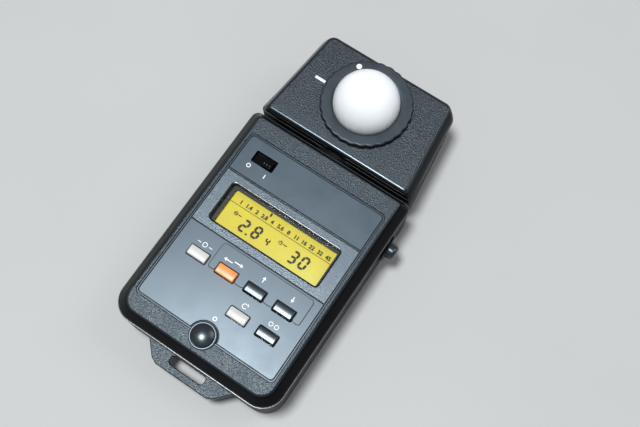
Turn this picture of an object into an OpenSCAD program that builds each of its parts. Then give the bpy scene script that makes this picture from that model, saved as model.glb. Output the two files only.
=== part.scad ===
// Handheld incident light meter: a two-shell body with a display and keys,
// and a head with a white dome that swivels about the body's long axis.
// Origin: centre of the flat back face. +Z out of the front, +Y towards the head, +X to the trigger side.

/* [Body shells] */
// Width of the body at the parting line
body_w = 69; // [67:0.5:74]
// Length of the body without the head
body_l = 90.6; // [90:0.2:94]
// Height of the front face above the back face
body_h = 24; // [24:0.1:24.6]
// Height of the parting line between the two shells
seam_z = 19.4; // [19.3:0.05:19.5]
// Wall thickness of the shells
wall = 1.6; // [1.4:0.1:1.8]
// Radius of the lower corners at the parting line
corner_r = 8.6; // [7:0.2:9.4]
// How far the front face lies in from the parting line at the sides
face_in_side = 3.7; // [3.3:0.1:4]
// How far the front face lies in from the parting line at the lower end
face_in_low = 3.4; // [3:0.1:3.8]
// How far the front face lies in from the parting line at the head end
face_in_high = 2.3; // [2:0.1:2.6]
// Radius of the lower corners of the front face
face_r = 5.6; // [4:0.2:6.4]

/* [Front panel] */
// Width of the inset panel
panel_w = 58.4; // [57.6:0.2:58.8]
// Lower edge of the panel
panel_y0 = -35.65; // [-35.9:0.05:-35.4]
// Upper edge of the panel
panel_y1 = 35.9; // [35.4:0.1:36.2]
// Corner radius of the panel
panel_r = 1.8; // [1.2:0.1:2.4]
// Width of the sunk border round the panel
trough_w = 0.8; // [0.6:0.05:1]
// Depth of the sunk border below the panel's surface
trough_d = 0.45; // [0.3:0.05:0.6]

/* [Display] */
// Width of the display window
window_w = 47.2; // [46:0.2:47.6]
// Height of the display window along the body
window_l = 16.9; // [16:0.1:17.2]
// Centre of the window across the body
window_x = -0.3; // [-0.5:0.1:0]
// Centre of the window along the body
window_y = 8.4; // [8:0.1:8.8]
// Corner radius of the window
window_r = 1.8; // [1:0.1:2.2]
// Width of the visible display area
display_w = 43.8; // [42:0.2:44]
// Height of the visible display area
display_l = 14.9; // [14:0.1:15]

/* [Keys] */
// Width of one key cap
key_w = 7.7; // [7:0.1:7.8]
// Length of one key cap along the body
key_l = 3.75; // [3.4:0.05:3.9]
// Gap between a key cap and its opening
key_gap = 0.3; // [0.2:0.05:0.35]
// Distance from key to key across the body
key_pitch = 12.2; // [12:0.1:12.3]
// Centre of the left-hand key
key_x0 = -18.4; // [-18.6:0.1:-18.2]
// Upper row of keys
row_1_y = -12.74; // [-13:0.02:-12.6]
// Lower row of keys
row_2_y = -23.1; // [-23.4:0.1:-22.8]
// How far a key travels
key_travel = 0.8; // [0.6:0.1:0.8]
// Radius of the round memory key
memory_r = 4.1; // [3.8:0.1:4.15]
// Place of the memory key along the body
memory_y = -35.4; // [-35.5:0.1:-35.2]

/* [Power switch] */
// Centre of the switch opening across the body
switch_x = -18.9; // [-19:0.1:-18.8]
// Centre of the switch opening along the body
switch_y = 28.85; // [28.5:0.05:29]
// Width of the switch opening
switch_w = 9.2; // [9:0.1:9.4]
// Height of the switch opening along the body
switch_l = 4.7; // [4.5:0.1:4.9]

/* [Measuring trigger] */
// Radius of the trigger cap
trigger_r = 2.93; // [2.6:0.01:2.97]
// Place of the trigger along the body
trigger_y = 28.8; // [28.6:0.1:29]
// Height of the trigger's axis above the back
trigger_z = 13.2; // [13:0.1:13.3]
// How far the cap stands out of the side wall
trigger_out = 4.2; // [3.6:0.1:4.6]

/* [Strap lug] */
// Half width of the lug where it leaves the wall
lug_root = 18.4; // [17:0.2:19]
// Half width of the lug at its tip
lug_tip = 12.2; // [11:0.2:13]
// How far the lug stands out of the wall
lug_out = 6.3; // [5.8:0.1:6.6]
// Thickness of the lug
lug_t = 2.5; // [2:0.1:2.6]
// Top face of the lug above the back
lug_top_z = 11.2; // [11:0.1:11.6]
// Length of the strap slot
slot_w = 14.6; // [12:0.2:16]
// Width of the strap slot
slot_l = 3.3; // [3:0.1:3.4]

/* [Head] */
// Axis of the swivel above the back
swivel_z = 12; // [12:0.05:12.1]
// Gap between the body and the head
neck_gap = 1.3; // [1.2:0.05:1.5]
// Length of the head along the body
head_l = 39.3; // [39:0.1:40]
// Half width of the head next to the body
head_low = 33.1; // [32.6:0.1:33.6]
// Half width of the head at its far end
head_high = 29; // [28.6:0.1:29.6]
// Height of the head's front face above the back
head_top_z = 25.3; // [25.2:0.05:25.5]
// Height of the head's back face
head_back_z = 1; // [0.9:0.1:1.2]
// Outer radius of the swivel tube
neck_r = 6.5; // [6.4:0.05:6.55]
// Radius of the swivel collar in the gap
collar_r = 9; // [8.4:0.1:9.2]

/* [Dome] */
// Place of the dome's axis along the body
dome_y = 67.45; // [67:0.05:67.6]
// Outer radius of the white dome
dome_r = 12.45; // [12.2:0.05:12.5]
// Wall thickness of the dome
dome_t = 1.2; // [1:0.1:1.4]
// Outer radius of the dome's turning ring
ring_r = 17.3; // [16.8:0.1:17.4]
// Number of waves round the ring's rim
ring_waves = 28; // [20:1:32]
// Radius from the dome's axis to the index dot
dot_at = 14.9; // [14.7:0.1:15]
// Direction of the index dot when the ring is locked, in degrees
dot_angle = 133.4; // [120:0.2:140]

/* [Battery] */
// Battery diameter
battery_d = 13; // [12.8:0.05:13]
// Battery length
battery_l = 25.2; // [24.8:0.1:25.2]
// Centre of the battery along the body
battery_y = -34.6; // [-34.7:0.05:-34.5]

/* [Hidden] */
$fn = 64;
hull_fn = 32;            // facets of the round corners inside hull()
eps = 0.02;              // thickness of the thin slabs that hull() joins
cut = 1;                 // how far a cutting tool runs past a face
body_y0 = -body_l / 2;
body_y1 = body_l / 2;
top_corner_r = 2.8;
face_top_r = 1.6;
back_in = 3;             // how far the flat back lies in from the outline
panel_back_z = body_h - 1.6;
panel_face_z = body_h - 0.15;
ledge_z = panel_back_z - 1.5;
ledge_w = 2.2;
panel_l = panel_y1 - panel_y0;
panel_mid = (panel_y0 + panel_y1) / 2;
strip_y = 19.8;          // border between the switch strip and the display section
keys_y = -3.04;          // border between the display section and the key section
border_w = 0.35;
surround_x0 = -13.3;
surround_x1 = 25.4;
surround_y0 = -14.3;
surround_y1 = -3.9;
surround_z = panel_face_z + 0.3;
board_z = 16.2;
board_t = 1;
board_top = board_z + board_t;
board_hole = [28.2, -26, 20];
lcd_back_z = 20;
lcd_glass_l = 20;
lcd_glass_w = 49.6;
lcd_y = 7.7;
lcd_x = 0.1;
frame_w = 52.4;
frame_l = 23.2;
key_z = 25;
key_flange_z = panel_back_z - 0.2;
key_crown_r = 3.2;
memory_z = 26.1;
memory_edge_z = 24.9;
collar_out = 5.05;
collar_z = 24.7;
plunger_z = board_top + 1.8;
trigger_end = body_w / 2 + trigger_out;
trigger_bore = 3;
trigger_flange_x = body_w / 2 - wall - 0.2;
trigger_stem_x = 28.9;
side_switch_x = 28.2;
case_screw_at = [[-26.5, -37.5], [26.5, -37.5], [-28.2, 39.8], [28.2, 39.8]];
boss_r = 2.6;
cover_x = 15.5;
cover_rail = 1.2;
cover_y0 = body_y0 + 1.9;
cover_y1 = -25;
cover_z0 = 0.3;
cover_z1 = 2;
cover_gap = 0.1;
bay_x0 = -16.2;
bay_x1 = 14.6;
bay_l = 13.4;
bay_top = 15.2;
battery_x = 1.3;
battery_z = cover_z1 + 0.1 + battery_d / 2;
head_y0 = body_y1 + neck_gap;
head_y1 = head_y0 + head_l;
head_wall = 1.8;
head_corner = 5;
head_screw_at = [[-26.5, 51.5], [26.5, 51.5], [-23.5, 80.6], [23.5, 80.6]];
bearing_y = 38.1;
retainer_y = 36;
flange_r = 9.2;
flange_screw_at = [for (a = [90, 180, 270]) [7.85 * sin(a), swivel_z + 7.85 * cos(a)]];
mount_r = 14;
hub_r = 12.9;
ring_z0 = head_top_z + 0.15;
ring_z1 = head_top_z + 2.55;
dome_base_z = head_top_z + 2.1;
cell_z = 16;
charcoal = [0.16, 0.17, 0.19];
gloss_black = [0.05, 0.05, 0.055];
satin_grey = [0.27, 0.3, 0.34];
steel = [0.7, 0.71, 0.72];
brass = [0.78, 0.62, 0.3];
board_green = [0.1, 0.35, 0.2];
cream = [0.9, 0.87, 0.78];

// ---------- shared shapes ----------

module rounded_rect(w, l, r) {
    square([w - 2 * r, l], center = true);
    square([w, l - 2 * r], center = true);
    for (sx = [-1, 1], sy = [-1, 1])
        translate([sx * (w / 2 - r), sy * (l / 2 - r)])
            circle(r);
}

module rounded_plate(w, l, r, z0, z1, at = [0, 0]) {
    translate([at[0], at[1], z0])
        linear_extrude(z1 - z0)
            rounded_rect(w, l, r);
}

// box from its lowest to its highest corner
module block(low, high) {
    translate(low)
        cube(high - low);
}

// cylinder along Z from z0 to z1
module post(r, z0, z1, at = [0, 0]) {
    translate([at[0], at[1], z0])
        cylinder(h = z1 - z0, r = r);
}

// cylinder along X from x0 to x1
module bar_x(r, x0, x1, y, z) {
    translate([x0, y, z])
        rotate([0, 90, 0])
            cylinder(h = x1 - x0, r = r);
}

// cylinder along Y about the swivel axis from y0 to y1
module bar_y(r, y0, y1) {
    translate([0, y0, swivel_z])
        rotate([-90, 0, 0])
            cylinder(h = y1 - y0, r = r);
}

// four thin discs at the corners of the body's outline, for hull()
module body_corners(z, side, low, high, low_r, high_r) {
    for (sx = [-1, 1]) {
        translate([sx * (body_w / 2 - side - low_r), body_y0 + low + low_r, z])
            cylinder(h = eps, r = low_r, $fn = hull_fn);
        translate([sx * (body_w / 2 - side - high_r), body_y1 - high - high_r, z])
            cylinder(h = eps, r = high_r, $fn = hull_fn);
    }
}

// half width of the head at a place along the body
function head_half(y) = head_low + (head_high - head_low) * (y - head_y0) / head_l;

// four thin discs at the corners of the head's outline, for hull()
module head_corners(z, side, low, high) {
    low_r = max(0.5, 1.6 - side / 3);
    high_r = max(1, head_corner - side);
    for (sx = [-1, 1]) {
        translate([sx * (head_half(head_y0) - side - low_r), head_y0 + low + low_r, z])
            cylinder(h = eps, r = low_r, $fn = hull_fn);
        translate([sx * (head_half(head_y1) - side - high_r), head_y1 - high - high_r, z])
            cylinder(h = eps, r = high_r, $fn = hull_fn);
    }
}

// closed tube swept along points, with a constant ring direction for a coil about Z
function coil_point(r, pitch, a) = [r * cos(a), r * sin(a), pitch * a / 360];
function coil_ring(r, wire, pitch, a, sides) = [for (k = [0:sides - 1])
    let (b = 360 * k / sides)
        coil_point(r + wire * cos(b), pitch, a) + [0, 0, wire * sin(b)]];

// coil spring standing on z = 0: mean radius, wire radius, height, turns, radius at the top
module coil(r, wire, height, turns, top_r) {
    steps = 18 * turns;
    sides = 6;
    pitch = (height - 2 * wire) / turns;
    rings = [for (i = [0:steps])
        coil_ring(r + (top_r - r) * i / steps, wire, pitch, 360 * turns * i / steps, sides)];
    points = [for (ring = rings, p = ring) p + [0, 0, wire]];
    walls = [for (i = [0:steps - 1], k = [0:sides - 1])
        let (n = (k + 1) % sides)
            [i * sides + k, (i + 1) * sides + k, (i + 1) * sides + n, i * sides + n]];
    first = [for (k = [0:sides - 1]) k];
    last = [for (k = [sides - 1:-1:0]) steps * sides + k];
    polyhedron(points, concat(walls, [first, last]), convexity = 6);
}

// self-tapping screw with its head down at z0, pointing up
module screw_up(r, head_r, z0, head_h, z1, at) {
    difference() {
        union() {
            post(head_r, z0, z0 + head_h, at);
            post(r, z0 + head_h - 0.1, z1, at);
        }
        for (turn = [0, 90])
            translate([at[0], at[1], z0])
                rotate([0, 0, turn])
                    cube([head_r * 1.3, 0.45, 1.1], center = true);
    }
}

// ---------- body shells ----------

module rear_shell() {
    difference() {
        hull() {
            body_corners(0, back_in, back_in, back_in, corner_r - back_in, 1.2);
            body_corners(0.7, 1.3, 1.3, 1.3, corner_r - 1.3, 1.8);
            body_corners(2.6, 0.25, 0.25, 0.25, corner_r - 0.25, 2.6);
            body_corners(seam_z - eps, 0, 0, 0, corner_r, top_corner_r);
        }
        hull() {
            body_corners(wall + 0.2, back_in + 0.4, back_in + 0.4, back_in + 0.4, 4.5, 1.2);
            body_corners(4.4, wall, wall, wall, corner_r - wall, 1.5);
            body_corners(seam_z + cut, wall, wall, wall, corner_r - wall, 1.5);
        }
    }
}

module battery_bay() {
    y0 = battery_y - bay_l / 2;
    y1 = battery_y + bay_l / 2;
    difference() {
        block([bay_x0 - 1, y0 - 1, 1], [bay_x1 + 1, y1 + 1, bay_top + 0.8]);
        block([bay_x0, y0, -cut], [bay_x1, y1, bay_top]);
    }
}

module rear_case() {
    bay_y0 = battery_y - bay_l / 2;
    bay_y1 = battery_y + bay_l / 2;
    channel_z = cover_z1 + cover_gap;
    color(gloss_black)
    difference() {
        union() {
            rear_shell();
            battery_bay();
            block([-18.6, body_y0 + 1, 1], [18.6, cover_y1 + 1.5, 3.6]);
            for (at = case_screw_at)
                post(boss_r + 0.2, 1, seam_z, at);
            for (sx = [-1, 1], i = [1, 2])
                post(2.4, 1, board_z, [sx * board_hole[0], board_hole[i]]);
            intersection() {
                bar_y(9.3, bearing_y, body_y1 - 0.5);
                block([-12, 30, 0], [12, 50, seam_z]);
            }
            // stop for the swivel, and the feet that carry the bearing and the trigger switch
            block([-4.2, retainer_y - 0.6, 1], [4.2, retainer_y + 1.25, swivel_z - 7.75]);
            block([-7, bearing_y, 1], [7, body_y1 - 1, 5]);
            block([22.2, trigger_y - 3, 1], [28, trigger_y + 3, trigger_z - 3.5]);
        }
        // battery opening, with the cover's channel and its two grooves
        block([-12.4, bay_y0, -cut], [14.3, bay_y1, bay_top - 1]);
        block([bay_x0, bay_y0, 3.6], [bay_x1, bay_y1, bay_top]);
        block([-cover_x - cover_gap, body_y0 - cut, -cut], [cover_x + cover_gap, cover_y1 + cover_gap, channel_z]);
        block([-cover_x - cover_rail - cover_gap, body_y0 - cut, 1.1],
              [cover_x + cover_rail + cover_gap, cover_y1 + cover_gap, channel_z]);
        // slots for the contact tails
        block([bay_x0 - 0.1, battery_y - 1.2, bay_top - 1], [bay_x0 + 0.7, battery_y + 1.2, board_z]);
        block([bay_x1 - 0.7, battery_y - 1.2, bay_top - 1], [bay_x1 + 0.1, battery_y + 1.2, board_z]);
        for (at = case_screw_at) {
            post(2, -cut, 2.4, at);
            post(1.1, 2, seam_z + cut, at);
        }
        for (sx = [-1, 1], i = [1, 2])
            post(0.86, 11, board_z + cut, [sx * board_hole[0], board_hole[i]]);
        bar_y(neck_r + 0.05, bearing_y - cut, body_y1 + cut);
        bar_x(trigger_bore, body_w / 2 - wall - 2, body_w / 2 + cut, trigger_y, trigger_z);
        block([-17.05, body_y0 - cut, lug_top_z - lug_t - 0.05], [17.05, body_y0 + wall + 0.2, lug_top_z + 0.05]);
        block([-22.3, -18.3, -cut], [22.3, 20.3, 0.3]);
    }
}

module front_case() {
    ledge_low_l = panel_l - 2 * ledge_w;
    color(charcoal)
    difference() {
        union() {
            difference() {
                hull() {
                    body_corners(seam_z, 0, 0, 0, corner_r, top_corner_r);
                    body_corners(body_h - 1.2, face_in_side - 0.85, face_in_low - 0.85, face_in_high - 0.6,
                        face_r + 0.7, face_top_r + 0.3);
                    body_corners(body_h - eps, face_in_side, face_in_low, face_in_high, face_r, face_top_r);
                }
                hull() {
                    body_corners(seam_z - cut, wall, wall, wall, corner_r - wall, 1.2);
                    body_corners(body_h - 1.8, face_in_side + 0.9, face_in_low + 0.9, face_in_high + 0.9,
                        face_r - 1, 0.8);
                }
            }
            rounded_plate(panel_w + 2.4, panel_l + 2.4, panel_r + 1.2, ledge_z, panel_back_z + 0.3,
                [0, panel_mid]);
            post(collar_out + 1.2, ledge_z, panel_back_z, [0, memory_y]);
            for (at = case_screw_at)
                post(boss_r, seam_z, body_h - 1, at);
        }
        rounded_plate(panel_w + 0.06, panel_l + 0.06, panel_r + 0.03, panel_back_z, body_h + cut, [0, panel_mid]);
        rounded_plate(panel_w - 2 * ledge_w, ledge_low_l, 1, ledge_z - cut, body_h + cut, [0, panel_mid]);
        post(collar_out + 0.05, panel_back_z - 0.8, body_h + cut, [0, memory_y]);
        post(memory_r + 0.35, ledge_z - cut, body_h, [0, memory_y]);
        for (at = case_screw_at)
            post(1.02, seam_z - cut, body_h - 1.9, at);
    }
}

// ---------- front panel ----------

module key_opening(x, y, z0) {
    rounded_plate(key_w + 2 * key_gap, key_l + 2 * key_gap, 0.7, z0, body_h + cut, [x, y]);
}

module front_panel() {
    inner_w = panel_w - 2 * trough_w;
    inner_l = panel_l - 2 * trough_w;
    color(satin_grey)
    difference() {
        union() {
            rounded_plate(panel_w, panel_l, panel_r, panel_back_z, panel_face_z - trough_d, [0, panel_mid]);
            rounded_plate(inner_w, inner_l, panel_r - trough_w / 2, panel_back_z, panel_face_z, [0, panel_mid]);
        }
        // borders between the three sections
        for (y = [strip_y, keys_y])
            block([-inner_w / 2 - cut / 4, y - border_w / 2, panel_face_z - 0.2],
                  [inner_w / 2 + cut / 4, y + border_w / 2, body_h + cut]);
        rounded_plate(window_w, window_l, window_r, panel_back_z - cut, body_h + cut, [window_x, window_y]);
        // pocket for the raised surround of the three setting keys
        block([surround_x0 - 0.02, surround_y0 - 0.02, panel_face_z - 0.5],
              [surround_x1 + 0.02, surround_y1 + 0.02, body_h + cut]);
        for (i = [0:3])
            key_opening(key_x0 + i * key_pitch, row_1_y, panel_back_z - cut);
        for (i = [2:3])
            key_opening(key_x0 + i * key_pitch, row_2_y, panel_back_z - cut);
        rounded_plate(switch_w, switch_l, 0.4, panel_back_z - cut, body_h + cut, [switch_x, switch_y]);
        post(collar_out + 0.05, panel_back_z - cut, body_h + cut, [0, memory_y]);
    }
}

module key_surround() {
    open_w = key_w + 2 * key_gap;
    color(satin_grey)
    difference() {
        rounded_plate(surround_x1 - surround_x0, surround_y1 - surround_y0, 1.2, panel_face_z - 0.5, surround_z,
            [(surround_x0 + surround_x1) / 2, (surround_y0 + surround_y1) / 2]);
        for (i = [1:3])
            block([key_x0 + i * key_pitch - open_w / 2, surround_y0 - cut, panel_face_z - cut],
                  [key_x0 + i * key_pitch + open_w / 2, row_1_y + key_l / 2 + key_gap, body_h + cut]);
    }
}

module window_lens() {
    color([0.75, 0.78, 0.8, 0.3])
    union() {
        rounded_plate(window_w - 0.1, window_l - 0.1, window_r - 0.05, panel_back_z - 0.05, panel_face_z - 0.1,
            [window_x, window_y]);
        rounded_plate(window_w + 2, window_l + 2, window_r + 1, panel_back_z - 0.75, panel_back_z - 0.02,
            [window_x, window_y]);
    }
}

// ---------- display ----------

module lcd_frame() {
    color([0.2, 0.21, 0.23])
    difference() {
        rounded_plate(frame_w, frame_l, 1.2, board_top, panel_back_z - 0.8, [lcd_x, lcd_y]);
        rounded_plate(lcd_glass_w + 0.2, lcd_glass_l + 0.2, 0.4, board_top - cut, lcd_back_z + 1.3, [lcd_x, lcd_y]);
        rounded_plate(display_w, display_l, 0.6, board_top, body_h, [lcd_x, lcd_y]);
    }
}

module lcd_glass() {
    color([0.85, 0.87, 0.86, 0.5])
    rounded_plate(lcd_glass_w, lcd_glass_l, 0.2, lcd_back_z + 0.15, lcd_back_z + 1.25, [lcd_x, lcd_y]);
}

module lcd_reflector() {
    color([0.86, 0.77, 0.18])
    rounded_plate(lcd_glass_w - 1.6, lcd_glass_l - 4.4, 0.2, lcd_back_z, lcd_back_z + 0.13, [lcd_x, lcd_y]);
}

module zebra_strips() {
    color([0.75, 0.55, 0.6])
    for (sy = [-1, 1])
        translate([lcd_x, lcd_y + sy * (lcd_glass_l / 2 - 1.1), (board_top + lcd_back_z + 0.15) / 2])
            cube([lcd_glass_w - 2, 1.8, lcd_back_z + 0.15 - board_top], center = true);
}

// ---------- boards and switches ----------

module main_board() {
    color(board_green)
    difference() {
        union() {
            block([-30.6, -30, board_z], [30.6, 35, board_top]);
            block([-21.5, -41.8, board_z], [21.5, -29, board_top]);
        }
        for (sx = [-1, 1], i = [1, 2])
            post(1, board_z - cut, board_top + cut, [sx * board_hole[0], board_hole[i]]);
        block([27.5, trigger_y - 5, board_z - cut], [31, trigger_y + 5, board_top + cut]);
    }
}

module processor_chip() {
    color([0.1, 0.1, 0.11])
    union() {
        block([-7, 1, board_z - 2.4], [7, 15, board_z - 0.2]);
        for (i = [0:11], side = [0, 90, 180, 270])
            translate([0, 8, board_z - 0.45])
                rotate([0, 0, side])
                    translate([7.5, -5.5 + i, 0])
                        cube([1.4, 0.4, 0.9], center = true);
    }
}

module amplifier_chips() {
    color([0.1, 0.1, 0.11])
    for (at = [[-17, 14], [-17, 2]])
        block([at[0] - 3, at[1] - 4, board_z - 2], [at[0] + 3, at[1] + 4, board_z]);
}

module capacitors() {
    color([0.15, 0.2, 0.4])
    for (at = [[16, -16], [16, -8.6], [8, -16]])
        post(2.6, board_z - 6.5, board_z, at);
}

module trimmers() {
    color([0.2, 0.35, 0.7])
    for (y = [-8, -15]) {
        block([-20.2, y - 2.4, board_z - 3.4], [-14.2, y + 2.4, board_z]);
        post(1.5, board_z - 4, board_z - 3.3, [-17.2, y]);
    }
}

module key_switch(x, y) {
    block([x - 3, y - 3, board_top], [x + 3, y + 3, board_top + 1.3]);
    post(1.5, board_top + 1.2, plunger_z, [x, y]);
}

module key_switches() {
    color(steel) {
        for (i = [0:3])
            key_switch(key_x0 + i * key_pitch, row_1_y);
        for (i = [2:3])
            key_switch(key_x0 + i * key_pitch, row_2_y);
        key_switch(0, memory_y);
    }
}

module power_switch() {
    color([0.3, 0.3, 0.32])
    difference() {
        block([switch_x - 6.5, switch_y - 2.8, board_top], [switch_x + 6, switch_y + 2.8, 20.2]);
        block([switch_x - 5, switch_y - 1.3, 18.6], [switch_x + 4, switch_y + 1.3, 21]);
    }
}

module power_slider() {
    knob_x = -17.4;
    color(gloss_black)
    difference() {
        union() {
            block([-22.8, switch_y - 3, key_flange_z - 0.9], [-13.6, switch_y + 3, key_flange_z]);
            rounded_plate(4.1, 3.6, 0.5, key_flange_z - 0.1, body_h + 0.1, [knob_x, switch_y]);
            block([knob_x - 1, switch_y - 1.1, 19.2], [knob_x + 1, switch_y + 1.1, key_flange_z - 0.5]);
        }
        for (i = [-1:1])
            post(0.32, body_h - 0.2, body_h + cut, [knob_x + i * 1.1, switch_y - 0.6]);
    }
}

// ---------- keys ----------

module key_cap(x, y, tone) {
    color(tone)
    union() {
        intersection() {
            rounded_plate(key_w, key_l, 0.45, key_flange_z - 0.4, key_z, [x, y]);
            bar_x(key_crown_r, x - key_w, x + key_w, y, key_z - key_crown_r);
        }
        block([x - key_w / 2, y - key_l / 2 + 0.3, key_flange_z - 0.4],
              [x + key_w / 2, y + key_l / 2 - 0.3, key_flange_z + 1]);
        block([x - 4.6, y - 2.7, key_flange_z - 0.8], [x + 4.6, y + 2.7, key_flange_z]);
        post(1.3, plunger_z + key_travel + 0.1, key_flange_z - 0.6, [x, y]);
    }
}

module memory_clear_key() {
    key_cap(key_x0, row_1_y, cream);
}

module mode_key() {
    key_cap(key_x0 + key_pitch, row_1_y, [0.93, 0.42, 0.12]);
}

module up_key() {
    key_cap(key_x0 + 2 * key_pitch, row_1_y, gloss_black);
}

module down_key() {
    key_cap(key_x0 + 3 * key_pitch, row_1_y, gloss_black);
}

module recall_key() {
    key_cap(key_x0 + 2 * key_pitch, row_2_y, cream);
}

module units_key() {
    key_cap(key_x0 + 3 * key_pitch, row_2_y, gloss_black);
}

module memory_key() {
    rise = memory_z - memory_edge_z;
    crown_r = (memory_r * memory_r + rise * rise) / (2 * rise);
    color(gloss_black)
    union() {
        intersection() {
            post(memory_r, ledge_z - 0.6, memory_z + cut, [0, memory_y]);
            translate([0, memory_y, memory_z - crown_r])
                sphere(crown_r);
        }
        post(collar_out, plunger_z + key_travel + 0.1, ledge_z - 0.2, [0, memory_y]);
    }
}

module memory_collar() {
    color(charcoal)
    translate([0, memory_y, 0])
        rotate_extrude()
            polygon([
                [memory_r + 0.08, panel_back_z - 0.8],
                [collar_out, panel_back_z - 0.8],
                [collar_out, collar_z - 0.3],
                [collar_out - 0.25, collar_z],
                [memory_r + 0.3, collar_z],
                [memory_r + 0.08, collar_z - 0.25]]);
}

// ---------- measuring trigger ----------

module measure_button() {
    crown = 0.5;
    color(gloss_black)
    union() {
        bar_x(trigger_r, trigger_flange_x - 0.1, trigger_end - crown, trigger_y, trigger_z);
        translate([trigger_end - crown, trigger_y, trigger_z])
            rotate([0, 90, 0])
                cylinder(h = crown, r1 = trigger_r, r2 = trigger_r - crown);
        bar_x(4.2, trigger_flange_x - 1.5, trigger_flange_x, trigger_y, trigger_z);
        bar_x(1.5, trigger_stem_x, trigger_flange_x - 1, trigger_y, trigger_z);
    }
}

module measure_collar() {
    color(gloss_black)
    translate([body_w / 2, trigger_y, trigger_z])
        rotate([0, 90, 0])
            rotate_extrude()
                polygon([[trigger_bore, 0], [5.9, 0], [5.5, 0.8], [5.1, 1], [trigger_bore + 0.3, 1],
                    [trigger_bore, 0.7]]);
}

module measure_spring() {
    color(steel)
    translate([side_switch_x + 0.05, trigger_y, trigger_z])
        rotate([0, 90, 0])
            coil(2.7, 0.25, trigger_flange_x - 1.55 - side_switch_x - 0.1, 3, 2.7);
}

module measure_switch() {
    color([0.15, 0.15, 0.16])
    union() {
        difference() {
            block([22.4, trigger_y - 3.2, trigger_z - 3.5], [side_switch_x, trigger_y + 3.2, board_z]);
            bar_x(2, side_switch_x - 3, side_switch_x + cut, trigger_y, trigger_z);
        }
        bar_x(1.2, side_switch_x - 3.5, side_switch_x - 0.7, trigger_y, trigger_z);
    }
}

// ---------- strap lug ----------

module strap_lug() {
    tip_y = body_y0 - lug_out;
    shoulder = 1.2;
    color(charcoal)
    union() {
        difference() {
            translate([0, 0, lug_top_z - lug_t])
                linear_extrude(lug_t)
                    polygon([
                        [-17, body_y0 + wall],
                        [-17, body_y0],
                        [-lug_root, body_y0],
                        [-lug_tip - shoulder, tip_y + shoulder],
                        [-lug_tip + shoulder, tip_y],
                        [lug_tip - shoulder, tip_y],
                        [lug_tip + shoulder, tip_y + shoulder],
                        [lug_root, body_y0],
                        [17, body_y0],
                        [17, body_y0 + wall]]);
            rounded_plate(slot_w, slot_l, 1.2, lug_top_z - lug_t - cut, lug_top_z + cut,
                [0, body_y0 - 0.3 - slot_l / 2]);
        }
        block([-16, body_y0 + wall - 0.2, lug_top_z - lug_t], [16, body_y0 + wall + 0.1, lug_top_z]);
        block([-16, body_y0 + wall + 0.05, lug_top_z - 4], [16, body_y0 + wall + 0.95, lug_top_z + 1.5]);
    }
}

// ---------- battery ----------

module battery() {
    x0 = battery_x - battery_l / 2;
    x1 = battery_x + battery_l / 2;
    color(steel)
    union() {
        bar_x(battery_d / 2, x0, x1 - 0.8, battery_y, battery_z);
        bar_x(3, x1 - 0.9, x1, battery_y, battery_z);
    }
}

module battery_cover() {
    color(gloss_black)
    difference() {
        union() {
            block([-cover_x, cover_y0 + 1.1, cover_z0], [cover_x, cover_y1, cover_z1]);
            block([-cover_x, cover_y0 + 0.1, cover_z0 + 0.9], [cover_x, cover_y1, cover_z1]);
            block([-cover_x - cover_rail, cover_y0 + 2.2, 1.2], [cover_x + cover_rail, cover_y1, cover_z1]);
        }
        // finger grooves
        for (i = [0:4])
            block([-7, -31.4 - i * 1.6, -cut], [7, -30.6 - i * 1.6, cover_z0 + 0.4]);
    }
}

module battery_plus_contact() {
    color(brass)
    union() {
        block([bay_x1 - 0.5, battery_y - 4, 4], [bay_x1 - 0.1, battery_y + 4, bay_top - 0.1]);
        block([bay_x1 - 0.5, battery_y - 1, bay_top - 0.5], [bay_x1 - 0.1, battery_y + 1, board_z]);
    }
}

module battery_minus_contact() {
    color(brass)
    union() {
        block([bay_x0 + 0.1, battery_y - 4, 4], [bay_x0 + 0.5, battery_y + 4, bay_top - 0.1]);
        block([bay_x0 + 0.1, battery_y - 1, bay_top - 0.5], [bay_x0 + 0.5, battery_y + 1, board_z]);
    }
}

module battery_spring() {
    color(steel)
    translate([bay_x0 + 0.5, battery_y, battery_z])
        rotate([0, 90, 0])
            coil(4.2, 0.35, battery_x - battery_l / 2 - bay_x0 - 0.5, 4, 2.4);
}

// ---------- back plate and screws ----------

module rating_plate() {
    color([0.55, 0.56, 0.58])
    block([-22.2, -18.2, 0.08], [22.2, 20.2, 0.3]);
}

module case_screws() {
    color(steel)
    for (at = case_screw_at)
        screw_up(1, 1.9, 0.7, 1.7, body_h - 2.1, at);
}

module board_screws() {
    color(steel)
    for (sx = [-1, 1], i = [1, 2]) {
        at = [sx * board_hole[0], board_hole[i]];
        post(0.85, 12, board_top + 0.1, at);
        difference() {
            post(1.7, board_top, board_top + 1, at);
            translate([at[0], at[1], board_top + 1])
                cube([4, 0.4, 1], center = true);
        }
    }
}

// ---------- swivel ----------

module neck_tube() {
    color([0.2, 0.2, 0.21])
    difference() {
        union() {
            bar_y(neck_r, 35.2, head_y0 + 4);
            bar_y(flange_r, head_y0 + head_wall + 0.05, head_y0 + head_wall + 1.6);
        }
        bar_y(4.6, 34, head_y0 + 5);
        for (at = flange_screw_at)
            translate([at[0], head_y0, at[1]])
                rotate([-90, 0, 0])
                    cylinder(h = 6, r = 0.8);
    }
}

module neck_collar() {
    color([0.3, 0.3, 0.31])
    difference() {
        bar_y(collar_r, body_y1 + 0.1, head_y0);
        bar_y(neck_r + 0.02, body_y1 - cut, head_y0 + cut);
    }
}

module neck_washer() {
    color(steel)
    difference() {
        bar_y(8.4, retainer_y + 1.3, bearing_y - 0.1);
        bar_y(neck_r + 0.06, retainer_y, bearing_y + cut);
    }
}

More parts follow.
